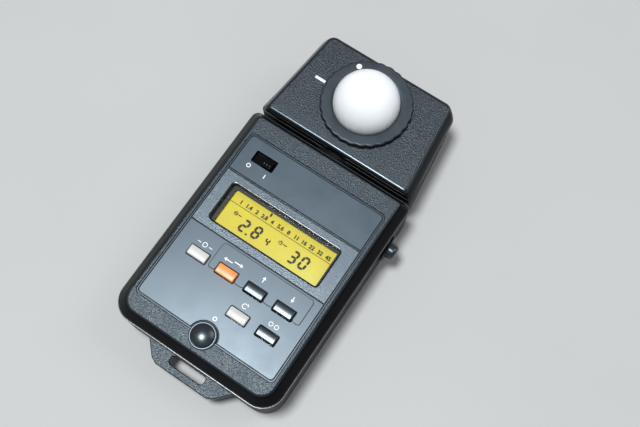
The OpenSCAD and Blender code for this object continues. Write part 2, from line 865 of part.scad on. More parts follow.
module neck_retainer() {
    color(steel)
    difference() {
        union() {
            bar_y(7.6, retainer_y, retainer_y + 1.2);
            intersection() {
                bar_y(8.6, retainer_y, retainer_y + 1.2);
                translate([0, retainer_y, swivel_z])
                    rotate([0, -45, 0])
                        block([-1.6, -1, 4], [1.6, 3, 12]);
            }
        }
        bar_y(neck_r + 0.01, retainer_y - cut, retainer_y + 3);
    }
}

module neck_screws() {
    color(steel)
    for (at = flange_screw_at)
        translate([at[0], 0, at[1]])
            rotate([-90, 0, 0]) {
                translate([0, 0, head_y0 + 0.4])
                    cylinder(h = head_wall + 1.3, r = 0.75);
                translate([0, 0, head_y0 + head_wall + 1.6])
                    cylinder(h = 0.8, r = 1.2);
            }
}

module head_cable() {
    color([0.35, 0.35, 0.4])
    union() {
        bar_y(1.6, 31.6, head_y0 + 9);
        block([-4, head_y0 + 8.5, swivel_z - 0.4], [4, head_y0 + 14, swivel_z + 0.4]);
        block([-4, head_y0 + 13.5, swivel_z - 0.4], [4, head_y0 + 14.3, cell_z - 1.3]);
    }
}

module cable_socket() {
    color(cream)
    block([-4, 25.5, swivel_z - 2.5], [4, 31.4, board_z]);
}

// ---------- head ----------

module head_rear_case() {
    color(gloss_black)
    difference() {
        union() {
            difference() {
                hull() {
                    head_corners(head_back_z, 2.6, 1.2, 2.6);
                    head_corners(head_back_z + 0.8, 1, 0.5, 1);
                    head_corners(head_back_z + 2.6, 0.2, 0.12, 0.2);
                    head_corners(seam_z - eps, 0, 0, 0);
                }
                hull() {
                    head_corners(head_back_z + head_wall, 3.2, head_wall + 1, 3.2);
                    head_corners(head_back_z + 4, head_wall + 0.1, head_wall + 0.1, head_wall + 0.1);
                    head_corners(seam_z + cut, head_wall, head_wall, head_wall);
                }
            }
            for (at = head_screw_at)
                post(boss_r, head_back_z + 1, seam_z, at);
            for (sx = [-1, 1], y = [59, 78])
                post(1.8, head_back_z + 1, cell_z - 1.2, [sx * 10.5, y]);
        }
        bar_y(neck_r + 0.03, head_y0 - cut, head_y0 + head_wall + cut);
        for (at = head_screw_at) {
            post(2, 0, head_back_z + 2.2, at);
            post(1.1, head_back_z + 2, seam_z + cut, at);
        }
        bar_y(flange_r + 0.1, head_y0 + head_wall, head_y0 + head_wall + 2);
        for (at = flange_screw_at)
            translate([at[0], head_y0 + 0.3, at[1]])
                rotate([-90, 0, 0])
                    cylinder(h = 3, r = 0.76);
    }
}

module head_front_case() {
    color(charcoal)
    difference() {
        union() {
            difference() {
                hull() {
                    head_corners(seam_z, 0, 0, 0);
                    head_corners(head_top_z - 1.4, 2.1, 0, 0.6);
                    head_corners(head_top_z - 0.35, 2.75, 0.05, 1.05);
                    head_corners(head_top_z - eps, 3.05, 0.3, 1.4);
                }
                hull() {
                    head_corners(seam_z - cut, head_wall, head_wall, head_wall);
                    head_corners(head_top_z - 1.7, 4.2, head_wall, 2.6);
                }
            }
            post(mount_r + 1.4, seam_z + 1, head_top_z - 1, [0, dome_y]);
            for (at = head_screw_at)
                post(boss_r, seam_z, head_top_z - 1, at);
        }
        post(mount_r + 0.05, seam_z, head_top_z + cut, [0, dome_y]);
        for (at = head_screw_at)
            post(1.02, seam_z - cut, head_top_z - 2.4, at);
        block([-22.22, dome_y - 1, head_top_z - 0.3], [-17.78, dome_y + 0.1, head_top_z + cut]);
    }
}

module head_screws() {
    color(steel)
    for (at = head_screw_at)
        screw_up(1, 1.9, head_back_z + 0.6, 1.6, head_top_z - 2.6, at);
}

module index_mark() {
    color([0.93, 0.93, 0.9])
    block([-22.2, dome_y - 0.98, head_top_z - 0.28], [-17.8, dome_y + 0.08, head_top_z + 0.04]);
}

// ---------- dome and its bayonet ----------

module dome_mount() {
    color(gloss_black)
    translate([0, dome_y, 0])
        rotate_extrude()
            polygon([
                [11.4, 20.6],
                [mount_r, 20.6],
                [mount_r, head_top_z - 0.02],
                [hub_r + 0.08, head_top_z - 0.02],
                [hub_r + 0.08, head_top_z - 0.9],
                [hub_r + 0.75, head_top_z - 0.9],
                [hub_r + 0.75, head_top_z - 2],
                [11.4, head_top_z - 2]]);
}

module dome_ring() {
    lip_r = dome_r + 0.08;
    color([0.12, 0.12, 0.13])
    difference() {
        union() {
            translate([0, dome_y, 0])
                rotate_extrude()
                    polygon([
                        [hub_r - 1.2, ring_z0 - 1.9],
                        [hub_r, ring_z0 - 1.9],
                        [hub_r, ring_z0],
                        [ring_r, ring_z0],
                        [ring_r, ring_z1 - 0.35],
                        [ring_r - 0.35, ring_z1],
                        [lip_r, ring_z1],
                        [lip_r, ring_z1 - 0.7],
                        [dome_r + 0.95, ring_z1 - 0.7],
                        [dome_r + 0.95, ring_z0 + 0.4],
                        [hub_r - 1.2, ring_z0 + 0.4]]);
            // three bayonet lugs
            for (a = [30, 150, 270])
                translate([0, dome_y, ring_z0 - 1.9])
                    rotate([0, 0, a])
                        intersection() {
                            difference() {
                                cylinder(h = 0.7, r = hub_r + 0.65);
                                translate([0, 0, -cut])
                                    cylinder(h = 3, r = hub_r - 0.6);
                            }
                            block([0, -3.4, -cut], [20, 3.4, 2]);
                        }
        }
        // shallow waves round the rim
        for (i = [0:ring_waves - 1])
            translate([0, dome_y, ring_z0 - cut])
                rotate([0, 0, 360 * (i + 0.5) / ring_waves])
                    translate([ring_r + 2.1, 0, 0])
                        cylinder(h = 5, r = 2.45, $fn = 32);
        post(1.12, ring_z1 - 0.3, ring_z1 + cut, [dot_at * cos(dot_angle), dome_y + dot_at * sin(dot_angle)]);
    }
}

module dome() {
    color([0.95, 0.95, 0.93])
    translate([0, dome_y, 0])
        difference() {
            union() {
                intersection() {
                    translate([0, 0, dome_base_z])
                        sphere(dome_r);
                    post(dome_r + 1, dome_base_z, dome_base_z + dome_r + cut);
                }
                post(dome_r, ring_z1 - 0.8, dome_base_z + 0.1);
                post(dome_r + 0.85, ring_z0 + 0.45, ring_z1 - 0.75);
            }
            intersection() {
                translate([0, 0, dome_base_z])
                    sphere(dome_r - dome_t);
                post(dome_r, dome_base_z, dome_base_z + dome_r);
            }
            post(dome_r - dome_t, ring_z0 - cut, dome_base_z + 0.1);
        }
}

module index_dot() {
    color([0.93, 0.93, 0.9])
    post(1.1, ring_z1 - 0.28, ring_z1 + 0.04, [dot_at * cos(dot_angle), dome_y + dot_at * sin(dot_angle)]);
}

// ---------- light cell ----------

module cell_holder() {
    color(gloss_black)
    translate([0, dome_y, 0])
        rotate_extrude()
            polygon([[5.2, cell_z], [11.2, cell_z], [11.2, 22.6], [10.4, 22.6], [6.2, 20.4], [5.2, 20.4],
                [5.2, 19.8], [4.6, 19.8], [4.6, 18.8], [5.2, 18.8]]);
}

module colour_filter() {
    color([0.45, 0.65, 0.75, 0.6])
    post(5.1, 19.85, 20.9, [0, dome_y]);
}

module photocell() {
    color([0.25, 0.25, 0.35])
    union() {
        post(4.5, cell_z, cell_z + 2.6, [0, dome_y]);
        block([-2.2, dome_y - 2.2, cell_z + 2.5], [2.2, dome_y + 2.2, cell_z + 2.75]);
    }
}

module sensor_board() {
    color(board_green)
    block([-13, 57, cell_z - 1.2], [13, 80.5, cell_z]);
}

rear_case();
front_case();
front_panel();
key_surround();
window_lens();
lcd_frame();
lcd_glass();
lcd_reflector();
zebra_strips();
main_board();
processor_chip();
amplifier_chips();
capacitors();
trimmers();
key_switches();
power_switch();
power_slider();
memory_clear_key();
mode_key();
up_key();
down_key();
recall_key();
units_key();
memory_key();
memory_collar();
measure_button();
measure_collar();
measure_spring();
measure_switch();
strap_lug();
battery();
battery_cover();
battery_plus_contact();
battery_minus_contact();
battery_spring();
rating_plate();
case_screws();
board_screws();
neck_tube();
neck_collar();
neck_washer();
neck_retainer();
neck_screws();
head_cable();
cable_socket();
head_front_case();
head_rear_case();
head_screws();
index_mark();
dome_mount();
dome_ring();
dome();
index_dot();
cell_holder();
colour_filter();
photocell();
sensor_board();
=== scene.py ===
"""Visual model of a handheld incident light meter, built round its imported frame."""
import math

import bmesh
import bpy
from mathutils import Matrix, Vector


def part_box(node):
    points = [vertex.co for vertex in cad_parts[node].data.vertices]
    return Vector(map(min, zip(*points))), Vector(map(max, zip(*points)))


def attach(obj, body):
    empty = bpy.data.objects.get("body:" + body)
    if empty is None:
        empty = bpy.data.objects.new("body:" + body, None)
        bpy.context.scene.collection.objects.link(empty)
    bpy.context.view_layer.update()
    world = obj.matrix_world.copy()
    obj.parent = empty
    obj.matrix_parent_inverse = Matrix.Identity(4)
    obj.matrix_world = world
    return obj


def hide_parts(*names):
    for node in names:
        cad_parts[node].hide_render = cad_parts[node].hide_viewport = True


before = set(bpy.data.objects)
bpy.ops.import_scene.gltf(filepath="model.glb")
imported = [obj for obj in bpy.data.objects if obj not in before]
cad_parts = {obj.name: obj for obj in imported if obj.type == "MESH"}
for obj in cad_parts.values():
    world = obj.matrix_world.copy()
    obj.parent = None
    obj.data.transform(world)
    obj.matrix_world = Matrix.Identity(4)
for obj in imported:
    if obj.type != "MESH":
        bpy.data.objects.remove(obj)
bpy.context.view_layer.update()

MM = 0.001
BOX = {name: [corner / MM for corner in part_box(name)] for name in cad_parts}


def lo(node, axis):
    return BOX[node][0]["xyz".index(axis)]


def hi(node, axis):
    return BOX[node][1]["xyz".index(axis)]


def mid(node, axis):
    return (lo(node, axis) + hi(node, axis)) / 2


# ---------- materials: all lengths in metres, all scales per metre ----------

GLOSS_FINER = 2.3             # scale of the patches of gloss against those of colour
CELLS_COARSER = 0.62          # scale of the grain's cells against its noise
SCUFF_SCALE, SCUFF_STRETCH = 420.0, (1, 0.06, 1)
DOME_SCATTER = (0.014, 0.0138, 0.0134)   # how far red, green and blue spread in the dome
SKY = (0.80, 0.92, 1.0)       # cool tint of the light that the satin plastics throw back


def node(tree, kind, **values):
    made = tree.nodes.new(kind)
    for key, value in values.items():
        if key in made.inputs:
            made.inputs[key].default_value = value
        else:
            setattr(made, key, value)
    return made


def noise(tree, coords, scale, detail=3.0, rough=0.55, stretch=None):
    made = node(tree, "ShaderNodeTexNoise", Scale=scale, Detail=detail, Roughness=rough)
    if stretch:
        mapping = node(tree, "ShaderNodeMapping", Scale=stretch)
        tree.links.new(coords, mapping.inputs["Vector"])
        coords = mapping.outputs["Vector"]
    tree.links.new(coords, made.inputs["Vector"])
    return made.outputs["Fac"]


def remap(tree, value, low, high, start=0.3, end=0.7):
    """Turns start to end into low to high. Most of a noise lies between 0.3 and 0.7."""
    made = node(tree, "ShaderNodeMapRange")
    for key, number in (("From Min", start), ("From Max", end), ("To Min", low), ("To Max", high)):
        made.inputs[key].default_value = number
    tree.links.new(value, made.inputs["Value"])
    return made.outputs["Result"]


def blend(tree, factor, a, b):
    made = node(tree, "ShaderNodeMix", data_type="RGBA")
    tree.links.new(factor, made.inputs[0])
    for socket, colour in ((made.inputs[6], a), (made.inputs[7], b)):
        if isinstance(colour, tuple):
            socket.default_value = (*colour, 1)
        else:
            tree.links.new(colour, socket)
    return made.outputs[2]


def bump(tree, height, distance, below=None):
    made = node(tree, "ShaderNodeBump", Strength=1.0, Distance=distance)
    tree.links.new(height, made.inputs["Height"])
    if below:
        tree.links.new(below, made.inputs["Normal"])
    return made.outputs["Normal"]


def start_material(name):
    made = bpy.data.materials.new(name)
    made.use_nodes = True
    tree = made.node_tree
    shader = tree.nodes["Principled BSDF"]
    coords = node(tree, "ShaderNodeTexCoord").outputs["Object"]
    return made, tree, shader, coords


def link_surface(tree, shader, colour, rough, normal):
    for socket, value in (("Base Color", colour), ("Roughness", rough), ("Normal", normal)):
        tree.links.new(value, shader.inputs[socket])


def plastic(name, dark, light, rough, patch=70.0, grain=2600.0, height=0.00002, fine=0.0,
            specular=0.5, tint=(1, 1, 1), scuffs=0.0):
    """Moulded plastic: mottled colour, uneven gloss, a moulded grain and lengthwise scuffs."""
    made, tree, shader, coords = start_material(name)
    colour = blend(tree, remap(tree, noise(tree, coords, patch, 4.0), 0, 1), dark, light)
    gloss = noise(tree, coords, patch * GLOSS_FINER, 5.0, 0.6)
    normal = bump(tree, noise(tree, coords, grain, 2.0, 0.5), height)
    if fine:
        cells = node(tree, "ShaderNodeTexVoronoi", feature="SMOOTH_F1",
                     Scale=grain * CELLS_COARSER, Smoothness=0.6)
        tree.links.new(coords, cells.inputs["Vector"])
        normal = bump(tree, cells.outputs["Distance"], fine, normal)
    if scuffs:
        lines = noise(tree, coords, SCUFF_SCALE, 2.0, stretch=SCUFF_STRETCH)
        normal = bump(tree, lines, scuffs, normal)
    link_surface(tree, shader, colour, remap(tree, gloss, *rough), normal)
    shader.inputs["Specular IOR Level"].default_value = specular
    shader.inputs["Specular Tint"].default_value = (*tint, 1)
    return made


def metal(name, dark, light, rough, brushed=(1, 1, 1)):
    """Bare metal with streaks in its colour, gloss and surface."""
    made, tree, shader, coords = start_material(name)
    streaks = noise(tree, coords, 900.0, 3.0, stretch=brushed)
    colour = blend(tree, remap(tree, streaks, 0, 1), dark, light)
    link_surface(tree, shader, colour, remap(tree, streaks, *rough), bump(tree, streaks, 0.000006))
    shader.inputs["Metallic"].default_value = 1.0
    return made


def clear_pane(name, ior, rough):
    """Clear plate that lets light straight through and reflects by its angle.

    Only the face towards the viewer reflects: the far one would reflect everything at low angles.
    """
    made, tree, shader, coords = start_material(name)
    tree.nodes.remove(shader)
    through = node(tree, "ShaderNodeBsdfTransparent", Color=(0.995, 1.0, 0.99, 1))
    gloss = node(tree, "ShaderNodeBsdfGlossy", Color=(1, 1, 1, 1))
    smears = remap(tree, noise(tree, coords, 160.0, 3.0), rough * 0.6, rough * 1.8)
    tree.links.new(smears, gloss.inputs["Roughness"])
    fresnel = node(tree, "ShaderNodeFresnel", IOR=ior)
    near_face = node(tree, "ShaderNodeMath", operation="SUBTRACT")
    near_face.inputs[0].default_value = 1.0
    far_face = node(tree, "ShaderNodeNewGeometry").outputs["Backfacing"]
    tree.links.new(far_face, near_face.inputs[1])
    gleam = node(tree, "ShaderNodeMath", operation="MULTIPLY")
    tree.links.new(fresnel.outputs[0], gleam.inputs[0])
    tree.links.new(near_face.outputs[0], gleam.inputs[1])
    mixed = node(tree, "ShaderNodeMixShader")
    tree.links.new(gleam.outputs[0], mixed.inputs[0])
    tree.links.new(through.outputs[0], mixed.inputs[1])
    tree.links.new(gloss.outputs[0], mixed.inputs[2])
    tree.links.new(mixed.outputs[0], tree.nodes["Material Output"].inputs["Surface"])
    return made


def opal(name):
    """White plastic that light spreads in."""
    made, tree, shader, coords = start_material(name)
    clouds = noise(tree, coords, 120.0, 2.0)
    colour = blend(tree, clouds, (0.86, 0.86, 0.85), (0.89, 0.89, 0.88))
    link_surface(tree, shader, colour, remap(tree, clouds, 0.34, 0.42),
                 bump(tree, noise(tree, coords, 3000.0, 2.0), 0.000003))
    shader.inputs["Subsurface Weight"].default_value = 1.0
    shader.inputs["Subsurface Radius"].default_value = DOME_SCATTER
    shader.inputs["Subsurface Scale"].default_value = 1.0
    shader.inputs["Specular IOR Level"].default_value = 0.2
    return made


def lcd_yellow_painted_sheen(name):
    """Reflective display backing: mottled yellow, with a painted sheen that pales it to its lower
    right corner.
    """
    made, tree, shader, coords = start_material(name)
    clouds = noise(tree, coords, 260.0, 4.0, 0.6)
    base = blend(tree, remap(tree, clouds, 0, 1), (0.61, 0.46, 0.005), (0.67, 0.525, 0.009))
    # painted sheen: the yellow grows paler towards the lower right corner, by position alone
    split = node(tree, "ShaderNodeSeparateXYZ")
    tree.links.new(coords, split.inputs[0])
    along = remap(tree, split.outputs["X"], 0, 1, start=-0.006, end=0.026)
    down = remap(tree, split.outputs["Y"], 1, 0, start=-0.002, end=0.012)
    both = node(tree, "ShaderNodeMath", operation="MULTIPLY")
    tree.links.new(along, both.inputs[0])
    tree.links.new(down, both.inputs[1])
    colour = blend(tree, both.outputs[0], base, (0.76, 0.66, 0.14))
    link_surface(tree, shader, colour, remap(tree, clouds, 0.42, 0.55),
                 bump(tree, noise(tree, coords, 5200.0, 2.0), 0.000006))
    return made


MATERIALS = {
    "grained": plastic(
        "case_grained", (0.006, 0.0075, 0.0095), (0.010, 0.0125, 0.0155), (0.30, 0.40),
        patch=55.0, grain=3900.0, height=0.00009, fine=0.00008, specular=0.65, tint=SKY),
    "edge": plastic(
        "case_edge", (0.006, 0.008, 0.010), (0.010, 0.013, 0.016), (0.22, 0.30),
        patch=90.0, grain=3000.0, height=0.000008, specular=0.7, tint=SKY),
    "gloss": plastic(
        "case_gloss", (0.002, 0.002, 0.0025), (0.004, 0.004, 0.005), (0.12, 0.20),
        patch=90.0, grain=1100.0, height=0.0000025, specular=0.09),
    "rear": plastic(
        "case_rear", (0.004, 0.005, 0.006), (0.007, 0.008, 0.009), (0.36, 0.48),
        patch=60.0, grain=3600.0, height=0.00004, fine=0.00003, specular=0.06),
    "panel": plastic(
        "panel_satin", (0.025, 0.038, 0.052), (0.034, 0.050, 0.067), (0.30, 0.37),
        patch=42.0, grain=4200.0, height=0.000007, scuffs=0.000003, specular=0.8, tint=SKY),
    # near-black for the panel's trough and grooves, the walls down into openings and the dial's
    # outer side: painted shade in these recesses and on these sides
    "dark_painted_shade": plastic(
        "groove_painted_shade", (0.004, 0.005, 0.006), (0.008, 0.009, 0.010), (0.35, 0.5), specular=0.25),
    "display": plastic(
        "display_section", (0.028, 0.039, 0.050), (0.041, 0.055, 0.069), (0.28, 0.36),
        patch=60.0, grain=3900.0, height=0.00005, fine=0.00004, specular=1.0, tint=SKY),
    "bezel": plastic(
        "window_bezel", (0.003, 0.003, 0.004), (0.006, 0.006, 0.007), (0.18, 0.24),
        height=0.000001),
    "lcd_frame": plastic(
        "lcd_frame", (0.007, 0.008, 0.009), (0.012, 0.013, 0.015), (0.35, 0.5),
        grain=3600.0, height=0.00001, specular=0.3),
    "cream": plastic(
        "key_cream", (0.48, 0.465, 0.42), (0.55, 0.535, 0.485), (0.30, 0.42),
        patch=200.0, grain=3800.0, height=0.000005),
    "orange": plastic(
        "key_orange", (0.84, 0.25, 0.05), (0.90, 0.30, 0.07), (0.28, 0.4),
        patch=200.0, grain=3800.0, height=0.000005),
    "key_black": plastic(
        "key_black", (0.007, 0.009, 0.011), (0.012, 0.014, 0.017), (0.25, 0.30),
        patch=200.0, grain=3800.0, height=0.000003, specular=1.0, tint=SKY),
    "collar": plastic(
        "memory_collar", (0.030, 0.038, 0.047), (0.040, 0.050, 0.060), (0.3, 0.38),
        grain=3800.0, height=0.000004, specular=1.0, tint=SKY),
    "ring": plastic(
        "ring_satin", (0.010, 0.0135, 0.017), (0.016, 0.021, 0.026), (0.34, 0.44),
        patch=90.0, grain=3600.0, height=0.000016, specular=0.7, tint=SKY),
    # lighter grey than the dark plastic it belongs to: painted highlight on the rims at the parting
    # line and on the knob's grip dots
    "grey_painted_highlight": plastic(
        "seam_rim_painted_highlight", (0.035, 0.040, 0.045), (0.055, 0.062, 0.068), (0.25, 0.33), specular=0.8),
    "white": plastic(
        "mark_white", (0.80, 0.80, 0.77), (0.88, 0.88, 0.85), (0.4, 0.5),
        patch=300.0, grain=5000.0, height=0.000004),
    "segment": plastic(
        "lcd_segment", (0.020, 0.019, 0.016), (0.034, 0.032, 0.026), (0.4, 0.5), specular=0.2),
    "chip": plastic("chip_black", (0.012, 0.012, 0.013), (0.022, 0.022, 0.024), (0.5, 0.65)),
    "board": plastic(
        "circuit_board", (0.018, 0.10, 0.045), (0.030, 0.15, 0.065), (0.3, 0.45),
        patch=260.0, specular=0.8),
    "sleeve": plastic("capacitor_sleeve", (0.02, 0.035, 0.12), (0.03, 0.05, 0.17), (0.25, 0.35)),
    "trimmer": plastic("trimmer_blue", (0.03, 0.09, 0.40), (0.05, 0.13, 0.50), (0.35, 0.45)),
    "elastomer": plastic("elastomer", (0.45, 0.28, 0.31), (0.55, 0.36, 0.40), (0.55, 0.7)),
    "cable": plastic("cable_sleeve", (0.10, 0.10, 0.11), (0.15, 0.15, 0.16), (0.45, 0.6)),
    "filter": plastic(
        "filter_blue", (0.10, 0.24, 0.34), (0.14, 0.30, 0.41), (0.08, 0.14), specular=0.8),
    "silicon": plastic("silicon_cell", (0.02, 0.022, 0.06), (0.04, 0.042, 0.10), (0.12, 0.2)),
    "steel": metal("plated_steel", (0.50, 0.51, 0.52), (0.66, 0.67, 0.68), (0.24, 0.38)),
    "battery": metal(
        "battery_can", (0.42, 0.43, 0.44), (0.60, 0.61, 0.62), (0.2, 0.34), (0.05, 1, 1)),
    "brass": metal("brass_strip", (0.60, 0.42, 0.16), (0.72, 0.53, 0.24), (0.22, 0.36)),
    "plate": metal(
        "plate_foil", (0.30, 0.31, 0.32), (0.40, 0.41, 0.42), (0.32, 0.44), (0.04, 1, 1)),
    "opal": opal("opal_dome"),
    "reflector": lcd_yellow_painted_sheen("lcd_reflector"),
    "lens": clear_pane("window_lens", 1.40, 0.03),
    "glass": clear_pane("lcd_glass", 1.2, 0.05),
}


# ---------- mesh helpers: all points in millimetres ----------

TINY = 1e-6                   # a shorter radius counts as none
FLAT = 0.9999                 # a face whose normal's z is more than this is flat
ALWAYS_SMOOTH = 3             # degrees between faces, below which an edge is smooth


def rounded(corners, radii, steps=8):
    """Closed outline through the corners in order, each rounded to its radius."""
    if not isinstance(radii, (list, tuple)):
        radii = [radii] * len(corners)
    out = []
    for i, corner in enumerate(corners):
        here, r = Vector(corner), radii[i]
        if r < TINY:
            out.append(here)
            continue
        before = (Vector(corners[i - 1]) - here).normalized()
        after = (Vector(corners[(i + 1) % len(corners)]) - here).normalized()
        half = before.angle(after) / 2
        reach = r / math.tan(half)
        centre = here + (before + after).normalized() * (r / math.sin(half))
        first = here + before * reach - centre
        last = here + after * reach - centre
        a = math.atan2(first.y, first.x)
        turn = (math.atan2(last.y, last.x) - a + math.pi) % (2 * math.pi) - math.pi
        for k in range(steps + 1):
            angle = a + turn * k / steps
            out.append(centre + r * Vector((math.cos(angle), math.sin(angle))))
    return out


def rectangle(w, l, r, at, steps=8):
    x, y = at
    corners = [(x - w / 2, y - l / 2), (x + w / 2, y - l / 2),
               (x + w / 2, y + l / 2), (x - w / 2, y + l / 2)]
    return rounded(corners, r, steps)


def circle(r, at, count=64):
    return [Vector((at[0] + r * math.cos(a), at[1] + r * math.sin(a)))
            for a in (2 * math.pi * k / count for k in range(count))]


def hole(outline):
    return list(reversed(outline))


def inset(outline, distance):
    """The outline moved to its left by a distance, which is inwards for an anticlockwise one."""
    out = []
    count = len(outline)
    for i, here in enumerate(outline):
        a = here - outline[i - 1]
        b = outline[(i + 1) % count] - here
        if a.length < 1e-9 or b.length < 1e-9:
            out.append(here)
            continue
        n1 = Vector((-a.y, a.x)).normalized()
        n2 = Vector((-b.y, b.x)).normalized()
        out.append(here + (n1 + n2) * (distance / (1 + n1.dot(n2))))
    return out


def at_height(outline, z):
    return [(p.x, p.y, z) for p in outline]


def finish_mesh(bm, name, materials, angle=32.0):
    """Smooths edges below an angle in degrees, keeps flat faces flat, and scales to metres."""
    bm.normal_update()
    for edge in bm.edges:
        if len(edge.link_faces) == 2:
            a, b = (f.normal for f in edge.link_faces)
            flat = [abs(n.z) > FLAT for n in (a, b)]
            turn = math.degrees(a.angle(b, 0))
            edge.smooth = turn < ALWAYS_SMOOTH or turn < angle and flat[0] == flat[1]
    for face in bm.faces:
        face.smooth = True
    bmesh.ops.scale(bm, vec=(MM, MM, MM), verts=bm.verts)
    mesh = bpy.data.meshes.new(name)
    bm.to_mesh(mesh)
    bm.free()
    for key in materials:
        mesh.materials.append(MATERIALS[key])
    return mesh


def piece(name, mesh, body, replaced=()):
    made = bpy.data.objects.new(name, mesh)
    bpy.context.scene.collection.objects.link(made)
    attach(made, body)
    if replaced:
        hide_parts(*replaced)


def add_ring(bm, points):
    return [bm.verts.new(p) for p in points]


def strip(bm, a, b, material=0):
    """Quads between two closed rings of vertices."""
    count = len(a)
    for i in range(count):
        n = (i + 1) % count
        bm.faces.new((a[i], a[n], b[n], b[i])).material_index = material


def fill(bm, rings, material=0, up=True):
    """Flat cap between closed rings of vertices: the first is outside, the rest are holes."""
    edges = []
    for ring in rings:
        for i, v in enumerate(ring):
            w = ring[(i + 1) % len(ring)]
            edges.append(bm.edges.get((v, w)) or bm.edges.new((v, w)))
    made = bmesh.ops.triangle_fill(bm, use_beauty=True, use_dissolve=False, edges=edges)
    for item in made["geom"]:
        if isinstance(item, bmesh.types.BMFace):
            item.normal_update()
            item.material_index = material
            if (item.normal.z > 0) != up:
                item.normal_flip()


def slab(name, loops, profile, materials, mats=None):
    """Plate with holes.

    Each outline has the material on its left, and profile is (inset, z) from the bottom.
    mats gives the material of each step of the profile.
    """
    mats = mats or [0] * (len(profile) - 1)
    bm = bmesh.new()
    bottoms, tops = [], []
    for loop in loops:
        rings = [add_ring(bm, at_height(inset(loop, d), z)) for d, z in profile]
        for a, b, material in zip(rings, rings[1:], mats):
            strip(bm, a, b, material)
        bottoms.append(rings[0])
        tops.append(rings[-1])
    fill(bm, bottoms, mats[0], up=False)
    fill(bm, tops, mats[-1], up=True)
    return finish_mesh(bm, name, materials)


def edge_profile(z0, z1, r, both=False, steps=3):
    """Side of a plate with its top edge, and its bottom edge if both, rounded to r."""
    turns = [math.pi / 2 * k / steps for k in range(steps + 1)]
    arc = [(r - r * math.cos(a), z1 - r + r * math.sin(a)) for a in turns]
    if both:
        return [(d, z0 + z1 - z) for d, z in reversed(arc)] + arc
    return [(0, z0)] + arc


def loft(name, rings, materials, mats=None):
    """Open skin through rings of points. mats gives the material of each step."""
    mats = mats or [0] * (len(rings) - 1)
    bm = bmesh.new()
    made = [add_ring(bm, ring) for ring in rings]
    for a, b, material in zip(made, made[1:], mats):
        strip(bm, a, b, material)
    bmesh.ops.recalc_face_normals(bm, faces=bm.faces)
    return finish_mesh(bm, name, materials)


def lathe(name, profile, materials, count, matrix, mats=None, wave=None):
    """Profile of (radius, height) turned about Z, then placed by a matrix in millimetres."""
    mats = mats or [0] * (len(profile) - 1)
    bm = bmesh.new()
    rings = []
    for r, z in profile:
        if r < TINY:
            rings.append(add_ring(bm, [(0, 0, z)]))
            continue
        ring = []
        for k in range(count):
            a = 2 * math.pi * k / count
            rr = wave(r, a) if wave else r
            ring.append((rr * math.cos(a), rr * math.sin(a), z))
        rings.append(add_ring(bm, ring))
    for a, b, material in zip(rings, rings[1:], mats):
        if len(a) > 1 and len(b) > 1:
            strip(bm, a, b, material)
            continue
        tip, ring = (a[0], b) if len(a) == 1 else (b[0], a)
        for i in range(count):
            n = (i + 1) % count
            order = (tip, ring[n], ring[i]) if len(a) == 1 else (ring[i], ring[n], tip)
            bm.faces.new(order).material_index = material
    bmesh.ops.recalc_face_normals(bm, faces=bm.faces)
    bmesh.ops.transform(bm, matrix=matrix, verts=bm.verts)
    return finish_mesh(bm, name, materials)


def along_z(x, y):
    return Matrix.Translation((x, y, 0))


def along_x(x, y, z):
    return Matrix.Translation((x, y, z)) @ Matrix.Rotation(math.pi / 2, 4, "Y")


# ---------- camera, floor and light ----------

PHOTO_WIDTH, FOCAL = 640, 937.1              # in pixels, as fitted to the photograph
SENSOR = 36
CAMERA_AT = (65.8, -61.07, 342.5)
AZIMUTH, ELEVATION, ROLL = (math.radians(a) for a in (33.92, 72.24, -0.096))


def add_camera():
    """The photograph's view: 18 degrees off straight above, and turned by 34 degrees."""
    back = Vector((math.sin(AZIMUTH) * math.cos(ELEVATION),
                   -math.cos(AZIMUTH) * math.cos(ELEVATION), math.sin(ELEVATION)))
    right = Vector((math.cos(AZIMUTH), math.sin(AZIMUTH), 0))
    up = back.cross(right)
    right, up = (right * math.cos(ROLL) + up * math.sin(ROLL),
                 up * math.cos(ROLL) - right * math.sin(ROLL))
    data = bpy.data.cameras.new("camera")
    data.sensor_width = SENSOR
    data.lens = SENSOR * FOCAL / PHOTO_WIDTH
    data.clip_start, data.clip_end = 0.01, 20
    camera = bpy.data.objects.new("camera", data)
    bpy.context.scene.collection.objects.link(camera)
    rotation = Matrix((right, up, back)).transposed().to_4x4()
    camera.matrix_world = Matrix.Translation(Vector(CAMERA_AT) * MM) @ rotation
    bpy.context.scene.camera = camera


def add_light(name, at, target, size, power, colour):
    """Round soft light: at and target in millimetres, size in metres, power in watts."""
    data = bpy.data.lights.new(name, "AREA")
    data.shape = "DISK"
    data.size = size
    data.energy = power
    data.color = colour
    light = bpy.data.objects.new(name, data)
    bpy.context.scene.collection.objects.link(light)
    light.location = Vector(at) * MM
    light.rotation_mode = "QUATERNION"
    light.rotation_quaternion = (Vector(at) - Vector(target)).to_track_quat("Z", "Y")


def add_floor():
    bm = bmesh.new()
    bmesh.ops.create_grid(bm, x_segments=1, y_segments=1, size=2.5)
    mesh = bpy.data.meshes.new("floor")
    bm.to_mesh(mesh)
    bm.free()
    made, tree, shader, coords = start_material("floor_pale")
    colour = blend(tree, noise(tree, coords, 9.0, 3.0), (0.44, 0.43, 0.41), (0.48, 0.47, 0.45))
    tree.links.new(colour, shader.inputs["Base Color"])
    shader.inputs["Roughness"].default_value = 0.6
    mesh.materials.append(made)
    floor = bpy.data.objects.new("floor", mesh)
    bpy.context.scene.collection.objects.link(floor)


def add_world():
    world = bpy.data.worlds.new("studio")
    world.use_nodes = True
    background = world.node_tree.nodes["Background"]
    background.inputs["Color"].default_value = (0.84, 0.91, 1.0, 1)
    background.inputs["Strength"].default_value = 0.27
    bpy.context.scene.world = world


bpy.context.scene.view_settings.view_transform = "Standard"
add_camera()
add_floor()
add_world()
add_light("lamp", (-250, -170, 2000), (0, 10, 0), 0.5, 43.0, (0.91, 0.96, 1.0))
add_light("fill", (700, 900, 1100), (0, 20, 0), 0.9, 5.0, (0.95, 0.97, 1.0))


# ---------- body ----------

